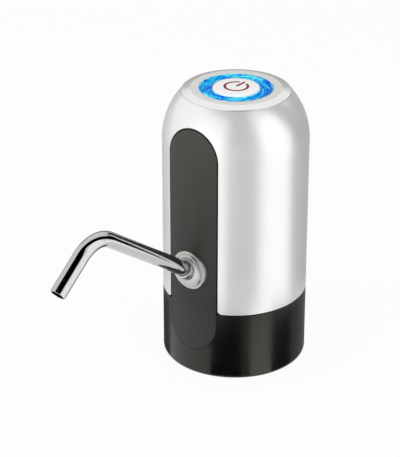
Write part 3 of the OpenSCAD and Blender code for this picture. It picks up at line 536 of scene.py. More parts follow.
# %% Power sign
SIGN_IN, SIGN_OUT = 4.8, 6.1
SIGN_LOW, SIGN_TOP = 137.6, 138.03
BAR_WIDE, BAR_LONG = 1.35, 6.6
gap = radians(20)
corners = ((SIGN_IN, SIGN_LOW), (SIGN_OUT, SIGN_LOW), (SIGN_OUT, SIGN_TOP), (SIGN_IN, SIGN_TOP))
bm = bmesh.new()
section = [bm.verts.new((r * cos(pi / 2 + gap), r * sin(pi / 2 + gap), z)) for r, z in corners]
start = bm.faces.new(section)
bmesh.ops.spin(bm, geom=[start], cent=(0, 0, 0), axis=UP, dvec=(0, 0, 0), angle=2 * (pi - gap), steps=72)
bar = bmesh.ops.create_cube(bm, size=1.0)["verts"]
bmesh.ops.scale(bm, vec=(BAR_WIDE, BAR_LONG, SIGN_TOP - SIGN_LOW), verts=bar)
bmesh.ops.translate(bm, vec=(0.0, BAR_LONG / 2, (SIGN_LOW + SIGN_TOP) / 2), verts=bar)
soften(bm, width=0.3, angle=60, segments=4, only=lambda e: abs(e.verts[0].co.z - e.verts[1].co.z) > 0.3)
soften(bm, width=0.03, angle=60, segments=1)
finish_piece("power_sign", bm, "button", ["power_icon"], "icon_red")

# %% [markdown]
# Inside the base a sleeve guides the jug's neck. Its lower stretch is close, with a wide lead-in,
# and above it the bore is relieved. The soft seal under the floor has two ribs that press on the
# neck's lip.

# %% Neck sleeve and seal
bm = bmesh.new()
spin_profile(bm, [
    (28.0, 0.9), (28.0, 8.0), (28.4, 8.0), (28.4, 17.5), (30.85, 17.5), (30.85, 0.25), (30.6, 0.0),
    (28.8, 0.0),
], count=128)
soften(bm, width=0.15, angle=30)
finish_piece("neck_guide", bm, "housing", ["neck_sleeve"], "sleeve_black")

bm = bmesh.new()
spin_profile(bm, [
    (24.2, 18.5), (24.2, 20.0), (27.7, 20.0), (27.7, 18.5), (27.3, 18.5), (26.9, 18.0), (26.5, 18.5),
    (25.4, 18.5), (25.0, 18.0), (24.6, 18.5),
], count=128)
soften(bm, width=0.12, angle=30)
finish_piece("neck_gasket", bm, "housing", ["neck_seal"], "seal_grey")

# %% [markdown]
# ## Spout collar
# The plated collar is a round cap against the panel with the spout's line leaning out of it. The
# cap is spun about the panel's own direction, and its last loops turn to the lean of the spout. A
# second turned piece about the spout's line is the lip, the bore and the plug with two grooves.

# %% Spout collar
CAP_AT = Vector((0.0, -BODY_R, 55.6))
OUT = Vector((0.0, -1.0, 0.0))
DOME_R, DOME_OUT = 7.45, 2.18
LIP_R, LIP_OUT, DOME_RISE = 4.7, 3.0, 0.85
bm = bmesh.new()
spin_profile(bm, [
    (9.65, 0.0), (9.65, 0.5), (9.58, 0.82), (9.38, 1.08), (9.1, 1.2), (8.75, 1.2), (8.6, 1.08),
    (8.42, 1.02), (8.28, 1.1), (8.2, 1.45), (8.05, 1.75), (7.8, 1.98), (DOME_R, DOME_OUT),
], at=CAP_AT, axis=OUT, closed=False, count=96)
back = open_edges(bm, lambda p: (p - CAP_AT).xz.length > 9)
for e in back:
    for v in e.verts:
        v.co.y = -sqrt((BODY_R + 0.05) ** 2 - v.co.x ** 2)
dome = open_edges(bm, lambda p: (p - CAP_AT).xz.length < 8)


def lean_in(p, share):
    """A point on its way from the cap's round edge to the lip, which leans with the spout."""
    start_ring = CAP_AT + OUT * DOME_OUT + DOME_R * Vector((p.x, 0.0, p.z - CAP_AT.z)).normalized()
    end_ring = spout_bore(LIP_R, start_ring, lambda x: -BODY_R - LIP_OUT)
    mid = start_ring.lerp(end_ring, share)
    mid.y = -BODY_R - DOME_OUT - DOME_RISE * (1 - (1 - share) ** 2)
    return mid


for share in (0.25, 0.5, 0.75, 1.0):
    dome = extend(bm, dome, lambda p: lean_in(p, share))
extend(bm, dome, lambda p: p - 2.0 * SPOUT_LINE)
bmesh.ops.bridge_loops(bm, edges=open_edges(bm))
spin_profile(bm, [
    (3.75, -14.0), (3.75, 4.85), (3.85, 5.08), (4.1, 5.2), (4.4, 5.2), (4.7, 5.08), (4.86, 4.85),
    (4.9, 4.5), (4.9, -1.6), (5.6, -1.6), (5.6, -9.0), (4.6, -9.0), (4.6, -10.6), (5.6, -10.6),
    (5.6, -11.3), (4.6, -11.3), (4.6, -12.9), (5.6, -12.9), (5.6, -13.6), (5.2, -14.0),
], at=SPOUT_AT, axis=SPOUT_LINE, count=72)
finish_piece("collar", bm, "spout_plug", ["spout_collar"], "collar_silver", sharp=50)

# %% [markdown]
# ## Spout
# The spout is bent from thin steel tube. A circle is carried along the long leg, spun round the
# knee and carried on along the short leg, once for the outside and once for the bore. The two are
# bridged at the ends, and the cut rims are broken with a small bevel.

# %% Spout tube
LEG, KNEE_R, TIP, PLUG = 67.0, 16.5, 19.9, 14.0
KNEE = radians(72.7)
TUBE_R, TUBE_BORE = 3.7, 3.1
LEG_STEPS, TIP_STEPS = 9, 3
knee_at = SPOUT_AT + SPOUT_LINE * LEG - SPOUT_UP * KNEE_R
tip_line = Matrix.Rotation(KNEE, 3, "X") @ SPOUT_LINE
lay = Matrix((SIDE, SPOUT_UP, SPOUT_LINE)).transposed().to_4x4()


def tube_wall(bm, radius):
    place = Matrix.Translation(SPOUT_AT - SPOUT_LINE * PLUG) @ lay
    ring = bmesh.ops.create_circle(bm, segments=56, radius=radius, matrix=place)["verts"]
    edges = list({e for v in ring for e in v.link_edges})
    for step in range(LEG_STEPS):
        edges = extend(bm, edges, lambda p: p + SPOUT_LINE * ((LEG + PLUG) / LEG_STEPS))
    verts = list({v for e in edges for v in e.verts})
    knee = bmesh.ops.spin(
        bm, geom=verts + edges, cent=knee_at, axis=SIDE, dvec=(0, 0, 0), angle=KNEE, steps=32)
    edges = [e for e in knee["geom_last"] if isinstance(e, bmesh.types.BMEdge)]
    for step in range(TIP_STEPS):
        edges = extend(bm, edges, lambda p: p + tip_line * (TIP / TIP_STEPS))
    return edges


bm = bmesh.new()
outer_end, inner_end = tube_wall(bm, TUBE_R), tube_wall(bm, TUBE_BORE)
bmesh.ops.bridge_loops(bm, edges=outer_end + inner_end)
bmesh.ops.bridge_loops(bm, edges=open_edges(bm))
soften(bm, width=0.14, angle=60)
finish_piece("spout", bm, "spout", ["spout_tube"], "spout_steel")

# %% [markdown]
# ## Finishes
# No surface on a real thing is one flat colour, and a finish is a small network of nodes. Some short
# helpers keep that network readable: one adds a node and feeds its sockets, with a link or a plain
# number, one starts a node group, and one stretches a mask to another range.

# %% Node helpers


def linear(red, green, blue):
    """A screen colour from 0 to 255 as the shader's own linear colour."""
    values = [c / 255 for c in (red, green, blue)]
    return tuple(c / 12.92 if c <= 0.04045 else ((c + 0.055) / 1.055) ** 2.4 for c in values) + (1.0,)


def add_node(tree, kind, inputs=None, **settings):
    """Adds a node. An input is another node's socket or a plain value."""
    made = tree.nodes.new(kind)
    for key, value in settings.items():
        setattr(made, key, value)
    for key, value in (inputs or {}).items():
        if isinstance(value, bpy.types.NodeSocket):
            tree.links.new(value, made.inputs[key])
        else:
            made.inputs[key].default_value = value
    return made


def add_math(tree, operation, *values):
    return add_node(tree, "ShaderNodeMath", dict(enumerate(values)), operation=operation).outputs["Value"]


def add_vector_math(tree, operation, *values):
    return add_node(tree, "ShaderNodeVectorMath", dict(enumerate(values)), operation=operation).outputs


def new_group(name, inputs, outputs):
    tree = bpy.data.node_groups.new(name, "ShaderNodeTree")
    for label, kind in inputs:
        tree.interface.new_socket(label, in_out="INPUT", socket_type=kind)
    for label in outputs:
        tree.interface.new_socket(label, in_out="OUTPUT", socket_type="NodeSocketFloat")
    return tree, tree.nodes.new("NodeGroupInput").outputs, tree.nodes.new("NodeGroupOutput").inputs


def spread(tree, value, low, high, to_low, to_high):
    span = {"Value": value, "From Min": low, "From Max": high, "To Min": to_low, "To Max": to_high}
    return add_node(tree, "ShaderNodeMapRange", span).outputs["Result"]


# %% [markdown]
# Four effects are shared by several finishes, so each is a node group that is built once: the skin
# of a moulded part with its fine grain and soft clouding, the drawn streaks of worked metal, the
# faint touch marks that change only the gloss, and the distance from the pump's axis, which tells
# the rings at the top apart. They read the piece's own coordinates, so they stay in place from
# every side.

# %% Shared effects
VECTOR, NUMBER = "NodeSocketVector", "NodeSocketFloat"
FLAT = (1.0, 1.0, 0.0)
skin_group, given, put = new_group(
    "moulded skin", [("Vector", VECTOR), ("Grain", NUMBER), ("Cloud", NUMBER)], ["Grain", "Cloud"])
grain = add_node(skin_group, "ShaderNodeTexNoise", {
    "Vector": given["Vector"], "Scale": given["Grain"], "Detail": 3.0, "Roughness": 0.6})
cloud = add_node(skin_group, "ShaderNodeTexNoise", {
    "Vector": given["Vector"], "Scale": given["Cloud"], "Detail": 4.0, "Roughness": 0.55,
    "Distortion": 0.4})
skin_group.links.new(grain.outputs["Fac"], put["Grain"])
skin_group.links.new(spread(skin_group, cloud.outputs["Fac"], 0.3, 0.7, 0.0, 1.0), put["Cloud"])

drawn_group, given, put = new_group(
    "drawn metal", [("Vector", VECTOR), ("Along", VECTOR), ("Fineness", NUMBER)], ["Streak"])
stretched = add_vector_math(drawn_group, "MULTIPLY", given["Vector"], given["Along"])["Vector"]
streak = add_node(drawn_group, "ShaderNodeTexNoise", {
    "Vector": stretched, "Scale": given["Fineness"], "Detail": 4.0, "Roughness": 0.7})
drawn_group.links.new(spread(drawn_group, streak.outputs["Fac"], 0.3, 0.7, 0.0, 1.0), put["Streak"])

touch_group, given, put = new_group("touch marks", [("Vector", VECTOR), ("Size", NUMBER)], ["Touch"])
blot = add_node(touch_group, "ShaderNodeTexNoise", {
    "Vector": given["Vector"], "Scale": given["Size"], "Detail": 2.0, "Roughness": 0.5, "Distortion": 0.3})
touch_group.links.new(spread(touch_group, blot.outputs["Fac"], 0.42, 0.72, 0.0, 1.0), put["Touch"])

axis_group, given, put = new_group("distance from the axis", [("Vector", VECTOR)], ["Reach"])
flat = add_vector_math(axis_group, "MULTIPLY", given["Vector"], FLAT)["Vector"]
axis_group.links.new(add_vector_math(axis_group, "LENGTH", flat)["Value"], put["Reach"])
print("shared effects:", [g.name for g in (skin_group, drawn_group, touch_group, axis_group)])

# %% [markdown]
# A finish starts from one shader with plain numbers on its sockets. The moulded finish mixes two
# near colours by the clouding, moves the gloss by the touch marks and gives the grain a slight
# height. The metal finish does the same with drawn streaks.

# %% Two kinds of finish
finishes = {}


def new_finish(name, sockets):
    material = bpy.data.materials.new(name)
    material.use_nodes = True
    tree = material.node_tree
    shader = tree.nodes["Principled BSDF"]
    for key, value in sockets.items():
        shader.inputs[key].default_value = value
    where = add_node(tree, "ShaderNodeTexCoord").outputs["Object"]
    finishes[name] = material
    return tree, shader, where


def use_group(tree, group, inputs):
    return add_node(tree, "ShaderNodeGroup", inputs, node_tree=group).outputs


def blend_colours(tree, share, first, second):
    """Sockets 0, 6 and 7 of the mix node are its share and its two colours, output 2 the blend."""
    return add_node(tree, "ShaderNodeMix", {0: share, 6: first, 7: second}, data_type="RGBA").outputs[2]


def raise_grain(tree, shader, value, strength, distance):
    bump = add_node(tree, "ShaderNodeBump", {"Height": value, "Strength": strength, "Distance": distance})
    tree.links.new(bump.outputs["Normal"], shader.inputs["Normal"])


def moulded(name, first, second, gloss, grain=3500.0, cloud=70.0, bump=0.12, **sockets):
    tree, shader, where = new_finish(name, sockets)
    skin = use_group(tree, skin_group, {"Vector": where, "Grain": grain, "Cloud": cloud})
    marks = use_group(tree, touch_group, {"Vector": where, "Size": 60.0})
    colour = blend_colours(tree, skin["Cloud"], linear(*first), linear(*second))
    tree.links.new(colour, shader.inputs["Base Color"])
    tree.links.new(spread(tree, marks["Touch"], 0.0, 1.0, *gloss), shader.inputs["Roughness"])
    raise_grain(tree, shader, skin["Grain"], bump, 0.0002)
    return tree, shader, where, colour


def worked_metal(name, first, second, gloss, along=(1.0, 1.0, 0.06), fineness=1200.0, bump=0.05):
    tree, shader, where = new_finish(name, {"Metallic": 1.0})
    drawn = use_group(tree, drawn_group, {"Vector": where, "Along": along, "Fineness": fineness})
    marks = use_group(tree, touch_group, {"Vector": where, "Size": 90.0})
    colour = blend_colours(tree, drawn["Streak"], linear(*first), linear(*second))
    tree.links.new(colour, shader.inputs["Base Color"])
    worn = add_math(tree, "MAXIMUM", drawn["Streak"], marks["Touch"])
    tree.links.new(spread(tree, worn, 0.0, 1.0, *gloss), shader.inputs["Roughness"])
    if bump:
        raise_grain(tree, shader, drawn["Streak"], bump, 0.0001)
    return tree, shader, where


# %% [markdown]
# ## Finishes outside
# The shell is a pearl paint: partly metallic, with tiny flakes that lift the colour here and there,
# in a smooth skin. The panel and the base are plain moulded plastic, the panel duller and darker
# towards its bottom by painted shade, the base with an olive cast in its gloss. The top ring and the
# button share one white, which is lighter on the button and, towards the edge, on the ring's plated bevel.

# %% Shell, panel, base and top
tree, shader, where, colour = moulded(
    "shell_white", (234, 234, 233), (238, 238, 237), (0.29, 0.32), grain=5200.0, cloud=45.0, bump=0.02,
    **{"Metallic": 0.45})
flake = add_node(tree, "ShaderNodeTexVoronoi", {"Vector": where, "Scale": 5200.0})
lift = spread(tree, flake.outputs["Distance"], 0.0, 0.7, 1.0, 0.0)
tree.links.new(blend_colours(tree, lift, colour, linear(243, 243, 242)), shader.inputs["Base Color"])

tree, shader, where, colour = moulded(
    "panel_grey", (60, 61, 56), (64, 65, 60), (0.46, 0.54), grain=4200.0, cloud=60.0, bump=0.12,
    **{"Specular IOR Level": 0.25})
# Painted shade: the panel's colour darkens downwards to a dark grey between 120 and 40 mm up; the tongue
# below takes a purplish grey.
level = add_node(tree, "ShaderNodeSeparateXYZ", {"Vector": where}).outputs["Z"]
painted_shade_share = spread(tree, level, 0.04, 0.12, 0.0, 1.0)
tongue = spread(tree, level, 0.026, 0.04, 1.0, 0.0)
upper = blend_colours(tree, painted_shade_share, linear(44, 45, 41), colour)
tree.links.new(blend_colours(tree, tongue, upper, linear(53, 49, 50)), shader.inputs["Base Color"])

moulded(
    "base_black", (9, 9, 8), (12, 12, 11), (0.27, 0.31), grain=4200.0, bump=0.04,
    **{"Specular Tint": (0.98, 1.0, 0.88, 1.0)})

BEVEL_FROM, BUTTON_TO = 0.0217, 0.0115
LINE = 0.0002
tree, shader, where, colour = moulded(
    "bezel_white", (217, 218, 214), (221, 222, 218), (0.18, 0.24), grain=3000.0, bump=0.02)
reach = use_group(tree, axis_group, {"Vector": where})["Reach"]
bevel_share = spread(tree, reach, BEVEL_FROM - LINE, BEVEL_FROM + LINE, 0.0, 1.0)
button_share = spread(tree, reach, BUTTON_TO - LINE / 2, BUTTON_TO + LINE / 2, 1.0, 0.0)
lighter = blend_colours(tree, bevel_share, colour, linear(236, 236, 235))
lightest = blend_colours(tree, button_share, lighter, linear(251, 251, 251))
tree.links.new(lightest, shader.inputs["Base Color"])
tree.links.new(spread(tree, bevel_share, 0.0, 1.0, 0.0, 0.65), shader.inputs["Metallic"])

moulded("icon_red", (132, 2, 38), (140, 6, 44), (0.34, 0.42), bump=0.05, **{"Specular IOR Level": 0.1})
print("outside finishes:", sorted(finishes))

# %% [markdown]
# The lit ring is a clear light guide over blue lamps. Its colour runs from deep blue to pale cyan
# in streaks that follow the ring, so the pattern reads the turn and the distance from the axis
# instead of plain x and y. A painted highlight makes it paler on two opposite sides, along a fixed
# turn. It gives off a little light of its own.

# %% Lit ring
PAINTED_HIGHLIGHT_TURN = radians(37.4)
PAINTED_HIGHLIGHT_GAIN = 0.17
RING_STRETCH = 480.0
ring_colours = (
    (0.2, (0, 40, 190)), (0.38, (0, 100, 208)), (0.53, (6, 146, 210)), (0.68, (12, 186, 214)),
    (0.9, (136, 224, 228)),
)
tree, shader, where = new_finish("light_blue", {
    "Roughness": 0.15, "Specular IOR Level": 0.06, "Emission Strength": 0.36})
reach = use_group(tree, axis_group, {"Vector": where})["Reach"]
flat = add_vector_math(tree, "MULTIPLY", where, FLAT)["Vector"]
turn = add_vector_math(tree, "NORMALIZE", flat)["Vector"]
far_out = add_node(tree, "ShaderNodeCombineXYZ", {"Z": add_math(tree, "MULTIPLY", reach, RING_STRETCH)})
ring_place = add_vector_math(tree, "ADD", turn, far_out.outputs["Vector"])["Vector"]
glow = add_node(tree, "ShaderNodeTexNoise", {
    "Vector": ring_place, "Scale": 2.8, "Detail": 4.0, "Roughness": 0.6, "Distortion": 0.8}).outputs["Fac"]
glow = spread(tree, glow, 0.33, 0.67, 0.1, 0.84)
# Painted highlight: the colour is pushed paler where the ring faces along this fixed turn, on both sides.
painted_highlight_line = (sin(PAINTED_HIGHLIGHT_TURN), -cos(PAINTED_HIGHLIGHT_TURN), 0.0)
facing = add_vector_math(tree, "DOT_PRODUCT", turn, painted_highlight_line)["Value"]
squared = add_math(tree, "MULTIPLY", facing, facing)
brighter = add_math(tree, "MULTIPLY_ADD", squared, PAINTED_HIGHLIGHT_GAIN, glow)
ramp = add_node(tree, "ShaderNodeValToRGB", {"Fac": brighter})
while len(ramp.color_ramp.elements) < len(ring_colours):
    ramp.color_ramp.elements.new(0.5)
for element, (at, colour) in zip(ramp.color_ramp.elements, ring_colours):
    element.position = at
    element.color = linear(*colour)
tree.links.new(ramp.outputs["Color"], shader.inputs["Base Color"])
tree.links.new(ramp.outputs["Color"], shader.inputs["Emission Color"])
raise_grain(tree, shader, glow, 0.5, 0.0012)
print("lit ring with", len(ring_colours), "colours")

# %% [markdown]
# ## Metals and soft parts
# The spout is polished to a mirror, with only the faintest streaks left in its gloss. The collar is
# satin plating, and the screws and the socket are plain zinc or nickel. Rubber and silicone are dull
# with a soft clouding.

# %% Metals and soft parts
worked_metal("spout_steel", (189, 189, 188), (199, 198, 197), (0.045, 0.06), fineness=900.0, bump=0.0)
worked_metal(
    "collar_silver", (190, 190, 188), (197, 197, 195), (0.34, 0.4), along=(1.0, 1.0, 1.0), fineness=2600.0,
    bump=0.02)
worked_metal("screw_steel", (176, 176, 178), (190, 190, 190), (0.24, 0.38), fineness=2200.0)
worked_metal("motor_steel", (184, 184, 186), (200, 200, 200), (0.2, 0.34), fineness=1800.0)
worked_metal(
    "usb_steel", (186, 187, 189), (204, 204, 205), (0.18, 0.3), along=(0.06, 1.0, 1.0), fineness=2600.0)
worked_metal("contact_brass", (190, 148, 78), (206, 168, 98), (0.22, 0.36), fineness=2000.0)
moulded("sleeve_black", (30, 30, 30), (36, 36, 35), (0.5, 0.62), bump=0.2)
moulded("seal_grey", (52, 52, 52), (62, 62, 61), (0.62, 0.78), grain=2200.0, bump=0.25)
moulded(
    "hose_clear", (222, 224, 222), (232, 233, 231), (0.3, 0.42), bump=0.05,
    **{"Subsurface Weight": 0.3})
print(len(finishes), "finishes so far")

# %% [markdown]
# ## Finishes inside
# Most of the inner pieces never show, but the library may open the pump up. They get the finishes
# such parts have: cream and grey mouldings, a blue sleeve on the cell, green boards with fine
# tracks, wound copper and sintered magnets.

# %% Mouldings, cell and leads inside
moulded("pipe_white", (226, 226, 222), (233, 233, 229), (0.36, 0.46), bump=0.1)
moulded("chassis_cream", (214, 208, 186), (222, 217, 197), (0.45, 0.58), bump=0.18)
moulded("pump_grey", (88, 89, 91), (97, 98, 99), (0.42, 0.55), bump=0.18)
moulded("gear_ivory", (224, 219, 200), (231, 227, 211), (0.34, 0.44), bump=0.08)
moulded("motor_cap", (226, 226, 222), (234, 234, 230), (0.4, 0.5), bump=0.12)
moulded("magnet_grey", (66, 66, 70), (84, 84, 88), (0.6, 0.75), grain=1500.0, bump=0.4)
moulded("cell_blue", (38, 70, 158), (46, 82, 172), (0.26, 0.36), bump=0.06, **{"Coat Weight": 0.2})
moulded("part_black", (26, 26, 26), (34, 34, 34), (0.4, 0.52), bump=0.15)
moulded(
    "led_clear", (206, 226, 230), (218, 236, 238), (0.12, 0.2), bump=0.03,
    **{"Transmission Weight": 0.4})
moulded("lead_red", (150, 26, 26), (164, 34, 32), (0.38, 0.5), bump=0.08)
print(len(finishes), "finishes so far")

# %% [markdown]
# The boards show fine tracks under green lacquer, for which the joints of a brick pattern will do.
# The armature is wound with many turns of thin wire, so a wave pattern raises fine ridges on it.

# %% Boards and windings
tree, shader, where, colour = moulded("board_green", (18, 82, 46), (24, 94, 54), (0.28, 0.38), bump=0.1)
track = add_node(tree, "ShaderNodeTexBrick", {"Vector": where, "Scale": 260.0, "Mortar Size": 0.03})
lacquer = blend_colours(tree, track.outputs["Fac"], colour, linear(44, 128, 74))
tree.links.new(lacquer, shader.inputs["Base Color"])

tree, shader, where = worked_metal(
    "armature_copper", (168, 98, 58), (196, 124, 78), (0.28, 0.42), bump=0.02)
wound = {"Vector": where, "Scale": 900.0, "Distortion": 0.6}
turns_of_wire = add_node(tree, "ShaderNodeTexWave", wound, bands_direction="Z")
raise_grain(tree, shader, turns_of_wire.outputs["Fac"], 0.5, 0.0003)
print(len(finishes), "finishes")

# %% [markdown]
# Every piece takes the finish of its slot, and a solid the one that the record names for it. A
# finish that no piece takes would show in the last line.

# %% Put the finishes on
for piece, slot in pieces.values():
    piece.data.materials.append(finishes[slot])
for part in frame["record"]["subparts"]:
    node = frame["nodes"][part["node"]]
    node.data.materials.clear()
    node.data.materials.append(finishes[part["material_slot"]])
unused = set(finishes) - {part["material_slot"] for part in frame["record"]["subparts"]}
print("finishes without a piece:", unused)

# %% [markdown]
# ## Studio
# White surroundings and a white floor light the pump softly from all sides. The floor shows white
# to the camera and in reflections, mixed with its own lit surface so that the shadow stays. Seen
# from below it is clear.

# %% Floor and surroundings
FLOOR_SIZE, FLOOR_DROP = 6.0, 0.0002
WHITE_SHARE = 0.93
SOFT_LIGHT = 0.52
floor_mesh = bpy.data.meshes.new("floor")
bm = bmesh.new()
bmesh.ops.create_grid(bm, x_segments=1, y_segments=1, size=FLOOR_SIZE)
bmesh.ops.translate(bm, vec=(0.0, 0.0, -FLOOR_DROP), verts=bm.verts)
bm.to_mesh(floor_mesh)
bm.free()
floor = bpy.data.objects.new("floor", floor_mesh)
scene.collection.objects.link(floor)


def seen_directly(tree):
    """1 for rays from the camera, from gloss and through clear parts."""
    path = add_node(tree, "ShaderNodeLightPath").outputs
    either = add_math(tree, "MAXIMUM", path["Is Camera Ray"], path["Is Glossy Ray"])
    return add_math(tree, "MAXIMUM", either, path["Is Transmission Ray"])


def mix_shaders(tree, share, first, second):
    return add_node(tree, "ShaderNodeMixShader", {0: share, 1: first.outputs[0], 2: second.outputs[0]})


paper = bpy.data.materials.new("paper floor")
paper.use_nodes = True
tree = paper.node_tree
surface = tree.nodes["Principled BSDF"]
surface.inputs["Base Color"].default_value = (0.9, 0.9, 0.9, 1.0)
surface.inputs["Roughness"].default_value = 0.9
surface.inputs["Specular IOR Level"].default_value = 0.0
white = add_node(tree, "ShaderNodeEmission")
lit = mix_shaders(tree, add_math(tree, "MULTIPLY", seen_directly(tree), WHITE_SHARE), surface, white)
behind = add_node(tree, "ShaderNodeNewGeometry").outputs["Backfacing"]
both = mix_shaders(tree, behind, lit, add_node(tree, "ShaderNodeBsdfTransparent"))
tree.links.new(both.outputs["Shader"], tree.nodes["Material Output"].inputs["Surface"])
floor_mesh.materials.append(paper)

world = bpy.data.worlds.new("studio")
world.use_nodes = True
tree = world.node_tree
soft = tree.nodes["Background"]
soft.inputs["Color"].default_value = (1, 1, 1, 1)
soft.inputs["Strength"].default_value = SOFT_LIGHT
bright = add_node(tree, "ShaderNodeBackground", {"Color": (1, 1, 1, 1), "Strength": 1.0})
mixed = mix_shaders(tree, seen_directly(tree), soft, bright)
tree.links.new(mixed.outputs["Shader"], tree.nodes["World Output"].inputs["Surface"])
scene.world = world
print("floor and surroundings:", floor.name, world.name)

# %% [markdown]
# Three wide disks are the lamps, one to each side of the view and one above. They do not show in
# the gloss, where cards take their place.

# %% Lamps
LAMP_POWER = 3.4
LAMPS_AIM = Vector((0.0, 0.0, 0.08))


def soft_lamp(name, place, size):
    lamp = bpy.data.lights.new(name, "AREA")
    lamp.shape = "DISK"
    lamp.size = size
    lamp.energy = LAMP_POWER
    stand = bpy.data.objects.new(name, lamp)
    stand.location = place
    stand.rotation_euler = (LAMPS_AIM - Vector(place)).to_track_quat("-Z", "Y").to_euler()
    stand.visible_glossy = False
    scene.collection.objects.link(stand)


soft_lamp("left lamp", (-0.31, -0.97, 0.49), 0.7)
soft_lamp("right lamp", (1.01, -0.13, 0.49), 0.7)
soft_lamp("top lamp", (-0.2, -0.35, 1.3), 0.9)
scene.view_settings.view_transform = "Standard"
print("lamps:", [light.name for light in bpy.data.lights])

# %% [markdown]
# Around a glossy upright form a photographer stands cards: dark ones draw the grey bands that show
# its roundness, and a bright strip between them draws the highlight. These cards are seen only in
# reflections. The camera looks down, so the upright sides mirror the floor first and the wall
# beyond it. Each card therefore starts at the body, follows the mirrored line of sight out along
# the floor and then stands up. A card is placed by the turn of the body it shows on, from the
# middle of the view. Cards close to the base show only in things that are near them.

# %% Cards for the reflections
BODY_EDGE = 0.0352
CARD_LIFT, SECOND_LIFT = 0.0004, 0.0005
CARD_NEAR, CARD_FAR = 0.068, 0.8
NEAR_LIMIT, NO_LIMIT = 0.072, 9.0


def add_card(name, bm, brightness, limit=NO_LIMIT):
    """A card that reflections see from nearer than the limit."""
    mesh = bpy.data.meshes.new(name)
    bm.to_mesh(mesh)
    bm.free()
    card = bpy.data.objects.new(name, mesh)
    scene.collection.objects.link(card)
    card.visible_camera = card.visible_diffuse = card.visible_shadow = card.visible_transmission = False
    look = bpy.data.materials.new(name)
    look.use_nodes = True
    tree = look.node_tree
    glow = add_node(tree, "ShaderNodeEmission", {"Strength": brightness})
    reach = add_node(tree, "ShaderNodeLightPath").outputs["Ray Length"]
    near = add_math(tree, "LESS_THAN", reach, limit)
    mixed = mix_shaders(tree, near, add_node(tree, "ShaderNodeBsdfTransparent"), glow)
    tree.links.new(mixed.outputs["Shader"], tree.nodes["Material Output"].inputs["Surface"])
    mesh.materials.append(look)


def reflection_card(name, from_turn, to_turn, path, brightness, limit=NO_LIMIT):
    """A card along a path of steps out and up, between two turns in degrees."""
    bm = bmesh.new()
    bmesh.ops.create_grid(bm, x_segments=16, y_segments=len(path) - 1, size=1.0)
    for v in bm.verts:
        turn = radians(from_turn + (to_turn - from_turn) * (v.co.x + 1.0) / 2.0)
        out, up = path[round((v.co.y + 1.0) / 2.0 * (len(path) - 1))]
        a, b = VIEW_TURN + turn, VIEW_TURN + 2.0 * turn
        v.co = (BODY_EDGE * sin(a) + out * sin(b), -BODY_EDGE * cos(a) - out * cos(b), up)
    add_card(name, bm, brightness, limit)


def wall_path(top):
    """Out along the floor, then up to this height."""
    return [(CARD_NEAR, CARD_LIFT), (CARD_FAR, CARD_LIFT), (CARD_FAR, top)]


SHORT, WALL, BACK_WALL = wall_path(0.22), wall_path(0.45), wall_path(0.42)
HIGH = [(CARD_FAR, 0.22), (CARD_FAR, 0.85), (0.28, 1.15)]
UPPER = [(CARD_FAR, 0.45), (CARD_FAR, 0.85)]
OVERLAPPING = [(CARD_NEAR, SECOND_LIFT), (CARD_FAR, SECOND_LIFT), (0.799, 0.12)]
NEAR = [(0.001, CARD_LIFT), (CARD_NEAR, CARD_LIFT)]
far_cards = [
    ("front grey", -7, 18, SHORT, 0.22),
    ("front dark", -7, 18, HIGH, 0.0),
    ("front left", -36, -7.5, WALL, 1.34),
    ("right strip", 22.5, 46.5, WALL, 1.38),
    ("right upper", 27, 56, UPPER, 1.52),
    ("right dark", 50, 75, WALL, 0.17),
    ("back right", 75, 82, WALL, 0.36),
    ("back", 82, 112, BACK_WALL, 0.35),
    ("back left", -82, -62, OVERLAPPING, 0.42),
]
near_cards = [
    ("dark", -19, 6, 0.0),
    ("edge", 6, 13, 0.3),
    ("strip", 13, 30, 1.45),
    ("right dark", 32, 52, 0.05),
    ("right", 52, 90, 0.3),
    ("left", -64, -22, 1.0),
    ("far left", -90, -64, 0.12),
]
for label, first, last, path, brightness in far_cards:
    reflection_card(label + " card", first, last, path, brightness)
for label, first, last, brightness in near_cards:
    reflection_card("near " + label + " card", first, last, NEAR, brightness, NEAR_LIMIT)
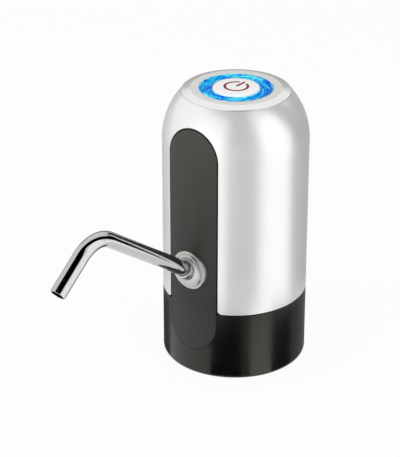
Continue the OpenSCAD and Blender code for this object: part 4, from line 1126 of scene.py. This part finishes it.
print(len(far_cards) + len(near_cards), "reflection cards")

# %% [markdown]
# A polished tube gets its crisp black line from something dark that it mirrors. Here that is a strip
# of backdrop half a metre away. It is laid out as the other cards are: from points along the tube
# the line of sight is mirrored and followed out to the strip, or down to the floor. The line runs
# along the side of the long leg, and on the short leg it lies higher up.

# %% Strip that the spout mirrors
STRIP_OUT = 0.5
STRIP_FROM, STRIP_PAST = 30.0, 6.0
LEG_BAND, TIP_BAND = radians(72), radians(20)
LEG_HALF, TIP_HALF = radians(10.5), radians(11)


def tube_place(length):
    """The tube's middle and its bend at this length from the panel."""
    bend = min(max((length - LEG) / KNEE_R, 0.0), KNEE)
    turn = Matrix.Rotation(bend, 3, "X")
    if bend == 0.0:
        return SPOUT_AT + length * SPOUT_LINE, bend, turn
    past = max(length - LEG - KNEE * KNEE_R, 0.0)
    return knee_at + KNEE_R * (turn @ SPOUT_UP) + past * (turn @ SPOUT_LINE), bend, turn


def mirrored_out(length, side):
    """Where the mirrored line of sight ends, with side from -1 to 1 across the dark line."""
    middle, bend, turn = tube_place(length)
    share = bend / KNEE
    eased = share ** 2 * (3.0 - 2.0 * share)
    half = LEG_HALF + (TIP_HALF - LEG_HALF) * eased
    band = LEG_BAND + (TIP_BAND - LEG_BAND) * eased + side * half
    normal = cos(band) * (turn @ SPOUT_UP) + sin(band) * SIDE
    at = MM * (middle + TUBE_R * normal)
    away = (at - camera.location).normalized().reflect(normal)
    out = STRIP_OUT if away.z > 0.0 else min(STRIP_OUT, (at.z - CARD_LIFT) / -away.z)
    return at + out * away


STRIP_END = LEG + KNEE * KNEE_R + TIP + STRIP_PAST
bm = bmesh.new()
bmesh.ops.create_grid(bm, x_segments=4, y_segments=48, size=1.0)
for v in bm.verts:
    v.co = mirrored_out(STRIP_FROM + (STRIP_END - STRIP_FROM) * (v.co.y + 1.0) / 2.0, v.co.x)
add_card("spout strip", bm, 0.0)
print("strip from", STRIP_FROM, "to", round(STRIP_END, 1), "mm along the spout")
